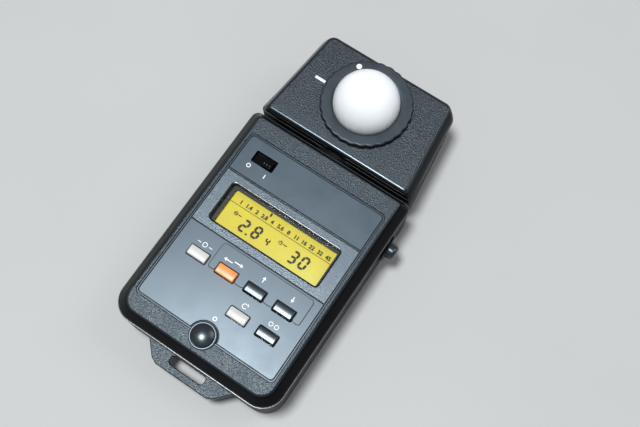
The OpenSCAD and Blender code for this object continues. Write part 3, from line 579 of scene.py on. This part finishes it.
SEAM = hi("rear_case", "z")
FACE = hi("front_case", "z")
HALF_W = hi("front_case", "x")
BODY_Y0, BODY_Y1 = lo("front_case", "y"), hi("front_case", "y")
BODY_LOW_R, BODY_HIGH_R = 8.6, 2.8           # corners at the parting line
DRAW_IN = (3.7, 3.4, 2.3)                    # of the front case at its sides, low and high end

# inset from the case and height above the parting line of the rim that shows there
RIM = ((0.02, -0.5), (0.0, -0.12), (0.05, 0.02), (0.3, 0.05), (0.36, -0.3))

PANEL_Y0, PANEL_Y1 = lo("front_panel", "y"), hi("front_panel", "y")
PANEL_W = 2 * hi("front_panel", "x")
PANEL_MID = (PANEL_Y0 + PANEL_Y1) / 2
PANEL_Z0, PANEL_Z = lo("front_panel", "z"), hi("front_panel", "z")
TROUGH = 0.8                                 # from the panel's edge to its sections
TROUGH_Z = PANEL_Z - 0.7
SECTION_Z0 = TROUGH_Z - 0.1
SECTION_R = 1.4
STRIP_Y, KEYS_Y = 19.8, -3.04                # the lines between the panel's sections


def body_ring(z, side, low, high, low_r, high_r):
    corners = [(-HALF_W + side, BODY_Y0 + low), (HALF_W - side, BODY_Y0 + low),
               (HALF_W - side, BODY_Y1 - high), (-HALF_W + side, BODY_Y1 - high)]
    return at_height(rounded(corners, [low_r, low_r, high_r, high_r], 12), z)


def build_front_case():
    """Sloped glossy rim, rounded edge and grained face down into the panel's opening."""
    rings, mats = [], []

    def add(t, z, extra=0.0, material=0):
        """Ring at share t of the slope, moved in by extra."""
        side, low, high = (draw * t + extra for draw in DRAW_IN)
        rings.append(body_ring(z, side, low, high, BODY_LOW_R - 3.0 * t - extra * 0.5,
                               max(0.6, BODY_HIGH_R - 1.2 * t - extra * 0.5)))
        mats.append(material)

    for t, up, extra in ((0.0, -0.25, 0.75), (0.0, 0.02, 0.5), (0.02, 0.2, 0.36),
                         (0.06, 0.45, 0.26)):
        add(t, SEAM + up, extra)
    for k in range(1, 6):
        add(0.06 + 0.72 * k / 5, SEAM + (FACE - SEAM) * (0.1 + 0.68 * k / 5), 0.26 * (1 - k / 5))
    for t, down, material in ((0.86, 0.66, 0), (0.93, 0.41, 0), (1.0, 0.23, 1), (1.07, 0.115, 1),
                              (1.14, 0.045, 1), (1.21, 0.01, 2), (1.27, 0.0, 2)):
        add(t, FACE - down, 0.0, material)
    opening = rectangle(PANEL_W + 0.3, PANEL_Y1 - PANEL_Y0 + 0.3, 1.95, (0, PANEL_MID), 12)
    # the wall down into the panel's opening is near-black: painted shade in the recess
    for d, z, material in ((0, FACE, 2), (0.06, FACE - 0.03, 1), (0.14, FACE - 0.12, 1),
                           (0.14, PANEL_Z0 - 0.1, 3)):
        rings.append(at_height(inset(opening, d), z))
        mats.append(material)
    mesh = loft("case_front", rings, ["gloss", "edge", "grained", "dark_painted_shade"], mats[1:])
    piece("case_front", mesh, "body", ["front_case"])


def build_rim(name, body, ring):
    """Thin rim of a rear shell that shows at the parting line, lighter grey than the shell as a
    painted highlight. ring gives it at a z and inset.
    """
    mesh = loft(name, [ring(SEAM + up, d) for d, up in RIM], ["grey_painted_highlight"])
    piece(name, mesh, body)


build_front_case()
build_rim("seam_rim_painted_highlight", "body",
          lambda z, d: body_ring(z, d, d, d, BODY_LOW_R - d, BODY_HIGH_R - d))


# ---------- panel and keys ----------

KEYS = (("memory_clear_key", "cream"), ("mode_key", "orange"), ("up_key", "key_black"),
        ("down_key", "key_black"), ("recall_key", "cream"), ("units_key", "key_black"))
KEY_W, KEY_L, KEY_GAP = 7.7, 3.75, 0.3
WINDOW = (-0.3, 8.4)
SWITCH_HOLE, SWITCH_X = (-18.9, 28.85), -17.4    # middles of the switch's well and of its knob


def key_hole(key):
    return hole(rectangle(KEY_W + 2 * KEY_GAP, KEY_L + 2 * KEY_GAP, 0.55,
                          (mid(key, "x"), mid(key, "y")), 5))


def window_outline():
    return rectangle(47.2, 16.9, 1.8, WINDOW)


def build_panel():
    """Base with a border, and three raised sections with grooves between them."""
    top, bottom = PANEL_Y1 - TROUGH, PANEL_Y0 + TROUGH
    half = PANEL_W / 2 - TROUGH
    window = hole(window_outline())
    switch = hole(rectangle(9.2, 4.7, 0.5, SWITCH_HOLE, 5))
    keys = [key_hole(key) for key, tone in KEYS]
    memory = hole(circle(4.5, (0, mid("memory_key", "y"))))
    outline = rectangle(PANEL_W, PANEL_Y1 - PANEL_Y0, 1.8, (0, PANEL_MID), 10)
    # the base shows only in the trough and grooves round the sections, near-black as painted shade
    base = slab("panel_base", [outline, window, switch, *keys, memory],
                edge_profile(PANEL_Z0, TROUGH_Z, 0.1), ["dark_painted_shade"])
    piece("panel_base", base, "body", ["front_panel"])
    border = slab("panel_border", [inset(outline, 0.08), hole(inset(outline, 0.5))],
                  edge_profile(SECTION_Z0, PANEL_Z - 0.1, 0.1), ["panel"])
    piece("panel_border", border, "body")

    def section(name, edge, holes, tone, z1=PANEL_Z):
        # the lower steps of each section's side are near-black: painted shade in the grooves
        # between sections
        mesh = slab(name, [edge, *holes], edge_profile(SECTION_Z0, z1, 0.12),
                    [tone, "dark_painted_shade"], [1, 1, 0, 0])
        piece(name, mesh, "body")

    def block(y0, y1, low_r, high_r):
        corners = [(-half, y0), (half, y0), (half, y1), (-half, y1)]
        return rounded(corners, [low_r, low_r, high_r, high_r])

    section("panel_switch_strip", block(STRIP_Y + 0.42, top, 0.3, SECTION_R), [switch], "panel")
    section("panel_display", block(KEYS_Y + 0.17, STRIP_Y - 0.42, 0.25, 0.25), [window],
            "display", PANEL_Z + 0.04)
    ridge = slab("panel_ridge", [block(STRIP_Y - 0.13, STRIP_Y + 0.13, 0, 0)],
                 edge_profile(SECTION_Z0, PANEL_Z - 0.03, 0.08), ["display"])
    piece("panel_ridge", ridge, "body")

    # the lowest section goes round the memory key in an arc, after its first rounded corner
    collar_r = hi("memory_collar", "x") + 0.55
    collar_y = mid("memory_collar", "y")
    start = math.atan2(bottom - collar_y, -math.sqrt(collar_r ** 2 - (bottom - collar_y) ** 2))
    arc = [Vector((collar_r * math.cos(a), collar_y + collar_r * math.sin(a)))
           for a in (start - (2 * start - math.pi) * k / 24 for k in range(25))]
    lower = block(bottom, KEYS_Y - 0.17, SECTION_R, 0.25)
    corner = len(lower) // 4
    section("panel_keys", lower[:corner] + arc + lower[corner:], keys, "panel")


def build_surround():
    """Raised plate round the three setting keys, with rounded tabs between them, on a near-black
    outline that is painted shadow round its edge.
    """
    x0, x1 = lo("key_surround", "x"), hi("key_surround", "x")
    y0, y1 = lo("key_surround", "y"), hi("key_surround", "y")
    z0, z1 = lo("key_surround", "z"), hi("key_surround", "z")
    gap = KEY_W / 2 + KEY_GAP
    top = mid("mode_key", "y") + KEY_L / 2 + KEY_GAP
    outer_r, inner_r, tab_r = 1.6, 0.35, 0.95
    first_r = min(tab_r, (mid("mode_key", "x") - gap - x0) / 2 - 0.02)
    last_r = min(tab_r, (x1 - (mid("down_key", "x") + gap)) / 2 - 0.02)
    points = [(x1, y1), (x0, y1), (x0, y0)]
    for key in ("mode_key", "up_key", "down_key"):
        x = mid(key, "x")
        points += [(x - gap, y0), (x - gap, top), (x + gap, top), (x + gap, y0)]
    points.append((x1, y0))
    radii = [outer_r, outer_r, first_r, first_r, *[inner_r, inner_r, tab_r, tab_r] * 2,
             inner_r, inner_r, last_r, last_r]
    outline = rounded(points, radii)
    plate = slab("key_surround_plate", [outline], edge_profile(z0, z1, 0.18, steps=4), ["panel"])
    # painted shadow: a near-black outline a little wider than the plate, just above the panel
    shadow = slab("key_surround_painted_shadow", [inset(outline, -0.1)],
                  edge_profile(z0, PANEL_Z + 0.012, 0.005), ["dark_painted_shade"])
    piece("key_surround_painted_shadow", shadow, "body")
    piece("key_surround_plate", plate, "body", ["key_surround"])


def build_key(key, tone):
    """Cap with a crowned top, rounded ends and soft corners."""
    x, y = mid(key, "x"), mid(key, "y")
    top, bottom = hi(key, "z"), PANEL_Z0 - 0.4
    half_w, half_l = KEY_W / 2, KEY_L / 2
    crown = 8.0                              # radius of the crowned top
    round_in, round_down = 0.42, 0.5         # reach of the rounded long edges
    rows = 14

    def crown_z(v):
        return top - crown + math.sqrt(crown ** 2 - v ** 2)

    def section(px, drop, shrink):
        """Outline across the key, lowered by drop and narrowed by shrink."""
        edge = half_l - round_in - shrink
        low = crown_z(edge) - drop - round_down
        near, far = y - half_l + shrink, y + half_l - shrink
        arc = [(round_in * (1 - math.cos(a)), low + round_down * math.sin(a) * 0.98)
               for a in (math.pi / 2 * (k + 1) / 6 for k in range(5))]
        ring = [(px, near, bottom), (px, near, low)]
        ring += [(px, near + d, z) for d, z in arc]
        for k in range(rows + 1):
            v = -edge + 2 * edge * k / rows
            ring.append((px, y + v, crown_z(v) - drop))
        ring += [(px, far - d, z) for d, z in reversed(arc)]
        return ring + [(px, far, low), (px, far, bottom)]

    # distance from the end of the key, drop and shrink
    ends = [(0.0, 0.62, 0.22), (0.02, 0.42, 0.12), (0.08, 0.24, 0.06), (0.18, 0.10, 0.02),
            (0.3, 0.03, 0.0), (0.45, 0.0, 0.0), (0.6, 0.0, 0.0), (1.6, 0.0, 0.0)]
    spans = [(x - half_w + d, drop, shrink) for d, drop, shrink in ends]
    spans += [(x + half_w - d, drop, shrink) for d, drop, shrink in reversed(ends)]
    bm = bmesh.new()
    rings = [add_ring(bm, section(*span)) for span in spans]
    for a, b in zip(rings, rings[1:]):
        strip(bm, a, b)
    bm.faces.new(rings[0])
    bm.faces.new(rings[-1])
    bmesh.ops.recalc_face_normals(bm, faces=bm.faces)
    mesh = finish_mesh(bm, key + "_cap", [tone], 40)
    piece(key + "_cap", mesh, key, [key])


def build_memory_key():
    """Domed round key and the collar round it."""
    y = mid("memory_key", "y")
    top, r = hi("memory_key", "z"), hi("memory_collar", "x") - 0.98
    rise = 1.0
    edge = top - rise
    crown = (r * r + rise * rise) / (2 * rise)
    profile = [(0, top)]
    for k in range(1, 15):
        d = (r - 0.12) * k / 14
        profile.append((d, top - crown + math.sqrt(crown ** 2 - d * d)))
    foot = PANEL_Z0 - 1.5
    profile += [(r - 0.03, edge - 0.02), (r, edge - 0.12), (r, foot), (0, foot)]
    mesh = lathe("memory_key_cap", profile, ["key_black"], 96, along_z(0, y))
    piece("memory_key_cap", mesh, "memory_key", ["memory_key"])
    out, z = hi("memory_collar", "x"), hi("memory_collar", "z")
    foot = PANEL_Z0 - 0.7
    ring = [(r + 0.1, foot), (r + 0.1, z - 0.25), (r + 0.16, z - 0.1), (r + 0.3, z),
            (out - 0.45, z), (out - 0.22, z - 0.06), (out - 0.07, z - 0.2), (out, z - 0.42),
            (out, foot), (r + 0.1, foot)]
    mesh = lathe("memory_ring", ring, ["collar"], 96, along_z(0, y))
    piece("memory_ring", mesh, "body", ["memory_collar"])


def build_switch():
    """Knob of the power switch with three grip dots, and the floor of the well it slides in."""
    y, z1 = mid("power_slider", "y"), hi("power_slider", "z")
    mesh = slab("power_knob", [rectangle(4.1, 3.6, 0.5, (SWITCH_X, y), 6)],
                edge_profile(PANEL_Z0 - 0.4, z1, 0.3, steps=4), ["gloss"])
    piece("power_knob", mesh, "power_slider", ["power_slider"])
    profile = [(0, z1 + 0.16), (0.14, z1 + 0.14), (0.25, z1 + 0.07), (0.28, z1 - 0.1)]
    # the grip dots are light grey: painted highlight on raised dots of the black knob
    for i in (-1, 0, 1):
        name = f"power_knob_dot_{i + 1}"
        dot = lathe(name, profile, ["grey_painted_highlight"], 24, along_z(SWITCH_X + i * 1.15, y - 0.6))
        piece(name, dot, "power_slider")
    bed = slab("power_bed", [rectangle(9.0, 4.5, 0.5, SWITCH_HOLE, 5)],
               edge_profile(PANEL_Z0 - 0.75, PANEL_Z0 - 0.45, 0.05), ["gloss"])
    piece("power_bed", bed, "body")


build_panel()
build_surround()
for key, tone in KEYS:
    build_key(key, tone)
build_memory_key()
build_switch()


# ---------- display ----------

def build_window():
    """Sides of the window's opening, and the clear pane in it."""
    z1 = PANEL_Z + 0.04
    profile = [(-0.05, z1 - 0.5), (-0.05, z1), (0.02, z1 + 0.02), (0.08, z1 + 0.02),
               (0.4, z1 - 0.03), (0.48, z1 - 0.07), (0.54, z1 - 0.16), (0.58, z1 - 0.35),
               (0.62, z1 - 0.7), (0.64, PANEL_Z0 - 0.6)]
    opening = window_outline()
    bezel = loft("window_bezel", [at_height(inset(opening, d), z) for d, z in profile], ["bezel"])
    piece("window_bezel", bezel, "body")
    pane = slab("window_pane", [rectangle(46.3, 16.0, 1.5, WINDOW)],
                edge_profile(PANEL_Z0 - 0.5, PANEL_Z0 + 0.7, 0.05, True), ["lens"])
    piece("window_pane", pane, "body", ["window_lens"])


SEGMENTS = {"2": "abged", "8": "abcdefg", "3": "abgcd", "0": "abcdef", "4": "fgbc"}
SEGMENT_ENDS = {"a": ((-1, 1), (1, 1)), "g": ((-1, 0), (1, 0)), "d": ((-1, -1), (1, -1)),
                "f": ((-1, 1), (-1, 0)), "b": ((1, 1), (1, 0)), "e": ((-1, 0), (-1, -1)),
                "c": ((1, 0), (1, -1))}
SLANT = 0.12

# figure, x and y of its middle, width, height and thickness of its segments
FIGURES = (("2", -11.75, 5.5, 3.0, 5.2, 0.78), ("8", -6.6, 5.9, 3.0, 5.2, 0.78),
           ("4", -1.6, 5.1, 1.7, 3.0, 0.5), ("3", 9.5, 5.7, 3.0, 5.2, 0.78),
           ("0", 13.8, 5.9, 3.0, 5.2, 0.78))
STOPS = (("1", -17.8), ("1.4", -14.4), ("2", -10.9), ("2.8", -7.6), ("4", -4.2), ("5.6", -0.6),
         ("8", 2.9), ("11", 6.3), ("16", 9.6), ("22", 12.9), ("32", 16.4), ("45", 19.9))


def digit(bm, figure, x, y, w, h, thick, z):
    """One figure of seven slanted segments, centred at x, y."""
    half_w, half_h = w / 2 - thick / 2, h / 2 - thick / 2
    for name in SEGMENTS[figure]:
        (ax, ay), (bx, by) = SEGMENT_ENDS[name]
        a = Vector((ax * half_w, ay * half_h))
        b = Vector((bx * half_w, by * half_h))
        along = (b - a).normalized()
        across = Vector((-along.y, along.x)) * thick / 2
        a, b = a + along * thick * 0.12, b - along * thick * 0.12
        point = along * thick / 2
        outline = [a, a + point - across, b - point - across, b, b - point + across,
                   a + point + across]
        bm.faces.new(add_ring(bm, [(x + p.x + p.y * SLANT, y + p.y, z) for p in outline]))


def quad(bm, x0, y0, x1, y1, z):
    bm.faces.new(add_ring(bm, [(x0, y0, z), (x1, y0, z), (x1, y1, z), (x0, y1, z)]))


def ring_mark(bm, x, y, r, w, z, a0=0.0, a1=360.0, count=32):
    """Flat arc of a ring from angle a0 to a1, for small printed marks."""
    rows = []
    for k in range(count + 1):
        a = math.radians(a0 + (a1 - a0) * k / count)
        c, s = math.cos(a), math.sin(a)
        rows.append(add_ring(bm, [(x + d * c, y + d * s, z) for d in (r - w, r)]))
    for a, b in zip(rows, rows[1:]):
        bm.faces.new((a[0], a[1], b[1], b[0]))


def arrow(bm, x, y, way, length, z):
    """Flat arrow centred at x, y and pointing along a way."""
    ahead, aside = Vector(way), Vector((-way[1], way[0]))
    tip, neck = length / 2, length / 2 - 1.05
    shaft, barb = 0.17, 0.72
    outline = [(-tip, -shaft), (neck, -shaft), (neck, -barb), (tip, 0), (neck, barb),
               (neck, shaft), (-tip, shaft)]
    bm.faces.new(add_ring(bm, [(*(Vector((x, y)) + ahead * u + aside * v), z) for u, v in outline]))


def printed(name, bm, tone, lift=0.02):
    """Gives flat marks a little thickness and makes them a piece on the body."""
    bmesh.ops.recalc_face_normals(bm, faces=bm.faces)
    for face in bm.faces:
        if face.normal.z < 0:
            face.normal_flip()
    top = bmesh.ops.extrude_face_region(bm, geom=list(bm.faces))
    verts = [g for g in top["geom"] if isinstance(g, bmesh.types.BMVert)]
    bmesh.ops.translate(bm, vec=(0, 0, lift), verts=verts)
    bmesh.ops.recalc_face_normals(bm, faces=bm.faces)
    piece(name, finish_mesh(bm, name, [tone]), "body")


def add_number(bm, text, x, y, size, z):
    """A number in Blender's own plain font, centred at x, y."""
    data = bpy.data.curves.new("number", "FONT")
    data.body = text
    data.size = size
    data.align_x, data.align_y = "CENTER", "CENTER"
    data.resolution_u = 3
    data.offset = 0.055
    holder = bpy.data.objects.new("number", data)
    bpy.context.scene.collection.objects.link(holder)
    bpy.context.view_layer.update()
    shown = holder.evaluated_get(bpy.context.evaluated_depsgraph_get())
    mesh = bpy.data.meshes.new_from_object(shown)
    mesh.transform(Matrix.Translation((x, y, z)))
    bm.from_mesh(mesh)
    bpy.data.objects.remove(holder)
    bpy.data.meshes.remove(mesh)


def build_display():
    """Dark figures just under the display's glass: the reading, the scale and two small signs."""
    z = lo("lcd_glass", "z") + 0.35
    bm = bmesh.new()
    for figure in FIGURES:
        digit(bm, *figure, z)
    quad(bm, -9.9, 2.9, -9.25, 3.55, z)
    quad(bm, -6.35, 13.55, -5.75, 15.0, z)
    printed("lcd_figures", bm, "segment", 0.03)
    bm = bmesh.new()
    quad(bm, -21.6, 10.7, 22.2, 10.86, z)
    for text, x in STOPS:
        add_number(bm, text, x, 12.2, 2.15, z)
    ring_mark(bm, -17.0, 7.8, 0.75, 0.16, z)
    ring_mark(bm, -17.0, 7.8, 0.4, 0.12, z)
    quad(bm, -15.9, 7.6, -14.6, 7.9, z)
    ring_mark(bm, 2.6, 7.6, 0.75, 0.16, z)
    quad(bm, 2.53, 7.5, 2.67, 8.2, z)
    quad(bm, 2.6, 7.5, 3.05, 7.64, z)
    quad(bm, 3.8, 7.45, 5.3, 7.75, z)
    printed("lcd_scale", bm, "segment")


build_window()
build_display()


# ---------- printed marks ----------

def build_marks():
    """Plain signs where the real meter has its lettering."""
    z = PANEL_Z + 0.001
    bm = bmesh.new()
    quad(bm, -15.85, 23.15, -15.5, 24.75, z)
    ring_mark(bm, -23.0, 24.5, 0.85, 0.3, z)
    printed("switch_marks", bm, "white")
    bm = bmesh.new()
    x, y = mid("memory_clear_key", "x"), -8.6
    ring_mark(bm, x, y, 0.95, 0.24, z)
    quad(bm, x + 1.7, y - 0.12, x + 3.1, y + 0.12, z)
    quad(bm, x - 3.1, y - 0.12, x - 1.7, y + 0.12, z)
    ring_mark(bm, 0, -28.2, 0.8, 0.3, z)
    x, y = mid("recall_key", "x"), -18.9
    ring_mark(bm, x, y, 1.0, 0.26, z, 40, 330)
    bm.faces.new(add_ring(bm, [(x + 0.35, y + 0.55, z), (x + 1.35, y + 0.45, z),
                               (x + 0.75, y + 1.35, z)]))
    x = mid("units_key", "x")
    ring_mark(bm, x - 1.15, y, 0.85, 0.24, z)
    ring_mark(bm, x + 1.15, y, 0.85, 0.24, z)
    printed("key_marks", bm, "white")
    z = hi("key_surround", "z") + 0.001
    bm = bmesh.new()
    arrow(bm, mid("mode_key", "x") - 2.0, -8.7, (-1, 0), 3.6, z)
    arrow(bm, mid("mode_key", "x") + 2.0, -7.9, (1, 0), 3.6, z)
    arrow(bm, 6.2, -7.5, (0, 1), 2.3, z)
    arrow(bm, 18.6, -7.8, (0, -1), 2.3, z)
    printed("setting_marks", bm, "white")


build_marks()


# ---------- trigger and strap lug ----------

def build_trigger():
    """Measuring trigger with a thin flange inside the case, and the shroud round it."""
    y, z = mid("measure_button", "y"), mid("measure_button", "z")
    end = hi("measure_button", "x")
    r, flange_r = 2.93, 4.2
    profile = [(0, end - 0.1), (1.5, end - 0.12), (2.1, end - 0.2), (2.45, end - 0.36),
               (2.7, end - 0.62), (2.86, end - 1.0), (r, end - 1.5), (r, end - 5.8),
               (flange_r, end - 5.9), (flange_r, end - 6.05), (0, end - 6.05)]
    mesh = lathe("trigger_cap", profile, ["key_black"], 72, along_x(0, y, z))
    piece("trigger_cap", mesh, "measure_button", ["measure_button"])
    x = lo("measure_collar", "x")
    ring = [(3.02, -0.2), (3.02, 0.75), (3.15, 0.95), (3.35, 1.0), (4.9, 1.0), (5.25, 0.93),
            (5.5, 0.74), (5.68, 0.4), (5.9, 0.0), (5.9, -0.2), (3.02, -0.2)]
    mesh = lathe("trigger_shroud", ring, ["gloss"], 72, along_x(x, y, z))
    piece("trigger_shroud", mesh, "body", ["measure_collar"])


def build_lug():
    """Flat lug with a slot for a strap."""
    y0, z0, z1 = lo("strap_lug", "y"), 8.7, 11.2
    root_y = BODY_Y0 + 1.2                   # inside the case's wall
    slot_w, slot_l = 14.6, 3.3
    points = [(-18.2, BODY_Y0), (-13.4, y0 + 1.2), (-11, y0), (11, y0), (13.4, y0 + 1.2),
              (18.2, BODY_Y0), (17, root_y), (-17, root_y)]
    outline = rounded(points, [0.3, 0.6, 0.6, 0.6, 0.6, 0.3, 0.1, 0.1], 6)
    slot = hole(rectangle(slot_w, slot_l, 1.2, (0, BODY_Y0 - 0.3 - slot_l / 2)))
    mesh = slab("strap_plate", [outline, slot], edge_profile(z0, z1, 0.35, True, 4),
                ["grained", "gloss"], [1] * 7 + [0] * 2)
    piece("strap_plate", mesh, "body", ["strap_lug"])


build_trigger()
build_lug()


# ---------- head ----------

HEAD_Y0, HEAD_Y1 = lo("head_front_case", "y"), hi("head_front_case", "y")
HEAD_Z = hi("head_front_case", "z")
HEAD_LOW, HEAD_HIGH = hi("head_front_case", "x"), 29.0    # half widths at its two ends
HEAD_LOW_R, HEAD_HIGH_R = 1.6, 5.0           # corners at the parting line
DOME_Y = mid("dome", "y")


def head_ring(z, side, low, high, low_r, high_r):
    slope = (HEAD_HIGH - HEAD_LOW) / (HEAD_Y1 - HEAD_Y0)
    a = HEAD_LOW + slope * low - side
    b = HEAD_HIGH - slope * high - side
    corners = [(-a, HEAD_Y0 + low), (a, HEAD_Y0 + low), (b, HEAD_Y1 - high), (-b, HEAD_Y1 - high)]
    return at_height(rounded(corners, [low_r, low_r, high_r, high_r], 12), z)


def build_head():
    """Sloped glossy sides and a grained face with a hole for the dome's mount."""
    full_slope = 3.05                        # inset at which the corners reach their least radii
    # height, inset at the sides, low end and high end, and material
    steps = [
        (SEAM - 0.2, 0.7, 0.7, 0.7, 0), (SEAM + 0.02, 0.45, 0.45, 0.45, 0),
        (SEAM + 0.2, 0.2, 0.12, 0.2, 0), (SEAM + 0.5, 0.16, 0.03, 0.1, 0),
        (SEAM + 1.6, 0.55, 0.0, 0.18, 0), (SEAM + 2.8, 1.12, 0.0, 0.32, 0),
        (SEAM + 3.8, 1.62, 0.0, 0.46, 0), (HEAD_Z - 1.3, 2.05, 0.0, 0.62, 0),
        (HEAD_Z - 0.8, 2.35, 0.06, 0.84, 0), (HEAD_Z - 0.5, 2.58, 0.17, 1.04, 1),
        (HEAD_Z - 0.28, 2.80, 0.33, 1.26, 1), (HEAD_Z - 0.12, 3.06, 0.55, 1.54, 1),
        (HEAD_Z - 0.03, 3.34, 0.80, 1.84, 1), (HEAD_Z, 3.62, 1.05, 2.12, 1)]
    bm = bmesh.new()
    rings = []
    for z, side, low, high, _ in steps:
        t = side / full_slope
        rings.append(add_ring(bm, head_ring(z, side, low, high, HEAD_LOW_R - 0.6 * t,
                                            HEAD_HIGH_R - 2.6 * t)))
    for a, b, step in zip(rings, rings[1:], steps[1:]):
        strip(bm, a, b, step[4])
    mount = circle(14.2, (0, DOME_Y), 96)
    bore = [add_ring(bm, at_height(mount, z)) for z in (HEAD_Z, HEAD_Z - 2)]
    strip(bm, hole(bore[0]), hole(bore[1]))
    fill(bm, [rings[-1], bore[0]], 2)
    mesh = finish_mesh(bm, "head_front", ["gloss", "edge", "grained"])
    piece("head_front", mesh, "head", ["head_front_case"])
    build_rim("head_seam_rim_painted_highlight", "head",
              lambda z, d: head_ring(z, d, d, d, HEAD_LOW_R, HEAD_HIGH_R - d))


def build_dome():
    """White dome, its turning ring with a wavy grip, the ring's dot and the head's index mark."""
    z0, z1 = HEAD_Z + 0.15, HEAD_Z + 2.55
    outer = hi("dome_ring", "x")
    grip_r, waves, depth = 15.5, 28, 0.34

    def wave(r, a):
        if r < grip_r:
            return r
        crest = 0.5 + 0.5 * math.cos(a * waves)
        return r - depth * (1 - crest ** 0.6)

    skirt = [(12.9, z0 - 1.5), (12.9, z0), (outer - 0.3, z0), (outer, z0 + 0.25),
             (outer, z1 - 0.6), (outer - 0.12, z1 - 0.28)]
    face = [(outer - 0.36, z1 - 0.08), (outer - 0.7, z1), (15.0, z1), (14.2, z1 - 0.02),
            (13.4, z1 - 0.05), (12.85, z1 - 0.1), (12.6, z1 - 0.22), (12.52, z1 - 0.5),
            (12.52, z0 - 1.5), (12.9, z0 - 1.5)]
    # the skirt's five steps, down the ring's outer side, are near-black: painted shade on the side
    # wall
    mesh = lathe("dome_dial", skirt + face, ["ring", "dark_painted_shade"], 336, along_z(0, DOME_Y),
                 [1] * 5 + [0] * 10, wave)
    piece("dome_dial", mesh, "dome_turn", ["dome_ring"])
    r, wall = hi("dome", "x") - 0.85, 10.0
    base = hi("dome", "z") - r

    def arc(radius, count, turns):
        return [(radius * math.sin(a), base + radius * math.cos(a))
                for a in (math.pi / 2 * turn / count for turn in turns)]

    shell = [(0, base + r), *arc(r, 32, range(1, 33)), (r, z0 + 0.1), (r - wall, z0 + 0.1),
             *arc(r - wall, 24, range(24, 0, -1)), (0, base + r - wall)]
    mesh = lathe("opal_dome", shell, ["opal"], 128, along_z(0, DOME_Y))
    piece("opal_dome", mesh, "dome_turn", ["dome"])
    profile = [(0, z1 + 0.05), (0.85, z1 + 0.045), (1.03, z1 + 0.015), (1.1, z1 - 0.06),
               (1.1, z1 - 0.3)]
    dot = lathe("ring_dot", profile, ["white"], 48,
                along_z(mid("index_dot", "x"), mid("index_dot", "y")))
    piece("ring_dot", dot, "dome_turn", ["index_dot"])
    width = hi("index_mark", "x") - lo("index_mark", "x")
    at = (mid("index_mark", "x"), mid("index_mark", "y"))
    bar = slab("head_index", [rectangle(width, 1.1, 0.2, at, 4)],
               edge_profile(HEAD_Z - 0.2, HEAD_Z + 0.04, 0.03), ["white"])
    piece("head_index", bar, "head", ["index_mark"])


build_head()
build_dome()


# ---------- finishes of the CAD parts that show as they are ----------

CAD_FINISH = {
    "rear": ("rear_case", "head_rear_case", "battery_cover", "neck_collar"),
    "plate": ("rating_plate",),
    "steel": ("case_screws", "head_screws", "board_screws", "neck_screws", "neck_washer",
              "neck_retainer", "key_switches", "measure_spring", "battery_spring"),
    "gloss": ("neck_tube",),
    "lcd_frame": ("lcd_frame",),
    "glass": ("lcd_glass",),
    "reflector": ("lcd_reflector",),
    "elastomer": ("zebra_strips",),
    "board": ("main_board", "sensor_board"),
    "chip": ("processor_chip", "amplifier_chips", "power_switch", "measure_switch", "cell_holder"),
    "sleeve": ("capacitors",),
    "trimmer": ("trimmers",),
    "battery": ("battery",),
    "brass": ("battery_plus_contact", "battery_minus_contact"),
    "cable": ("head_cable",),
    "cream": ("cable_socket",),
    "dark_painted_shade": ("dome_mount",),
    "filter": ("colour_filter",),
    "silicon": ("photocell",),
}
SHARP = math.radians(34)
WELD = 0.000002


def smooth_group():
    """Modifier that smooths every edge under a set angle and keeps the others sharp."""
    group = bpy.data.node_groups.new("smooth_by_angle", "GeometryNodeTree")
    for way in ("INPUT", "OUTPUT"):
        group.interface.new_socket("Geometry", in_out=way, socket_type="NodeSocketGeometry")
    start, end = group.nodes.new("NodeGroupInput"), group.nodes.new("NodeGroupOutput")
    faces = group.nodes.new("GeometryNodeSetShadeSmooth")
    faces.domain = "FACE"
    edges = group.nodes.new("GeometryNodeSetShadeSmooth")
    edges.domain = "EDGE"
    angle = group.nodes.new("GeometryNodeInputMeshEdgeAngle")
    below = group.nodes.new("FunctionNodeCompare")
    below.operation = "LESS_THAN"
    below.inputs["B"].default_value = SHARP
    group.links.new(start.outputs[0], faces.inputs["Geometry"])
    group.links.new(faces.outputs[0], edges.inputs["Geometry"])
    group.links.new(angle.outputs["Unsigned Angle"], below.inputs["A"])
    group.links.new(below.outputs[0], edges.inputs["Shade Smooth"])
    group.links.new(edges.outputs[0], end.inputs[0])
    return group


def finish_cad():
    group = smooth_group()
    for key, names in CAD_FINISH.items():
        for name in names:
            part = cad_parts[name]
            part.data.materials.clear()
            part.data.materials.append(MATERIALS[key])
            for polygon in part.data.polygons:
                polygon.material_index = 0
            part.modifiers.new("weld", "WELD").merge_threshold = WELD
            part.modifiers.new("smooth", "NODES").node_group = group
            part.modifiers.new("normals", "WEIGHTED_NORMAL").keep_sharp = True


finish_cad()
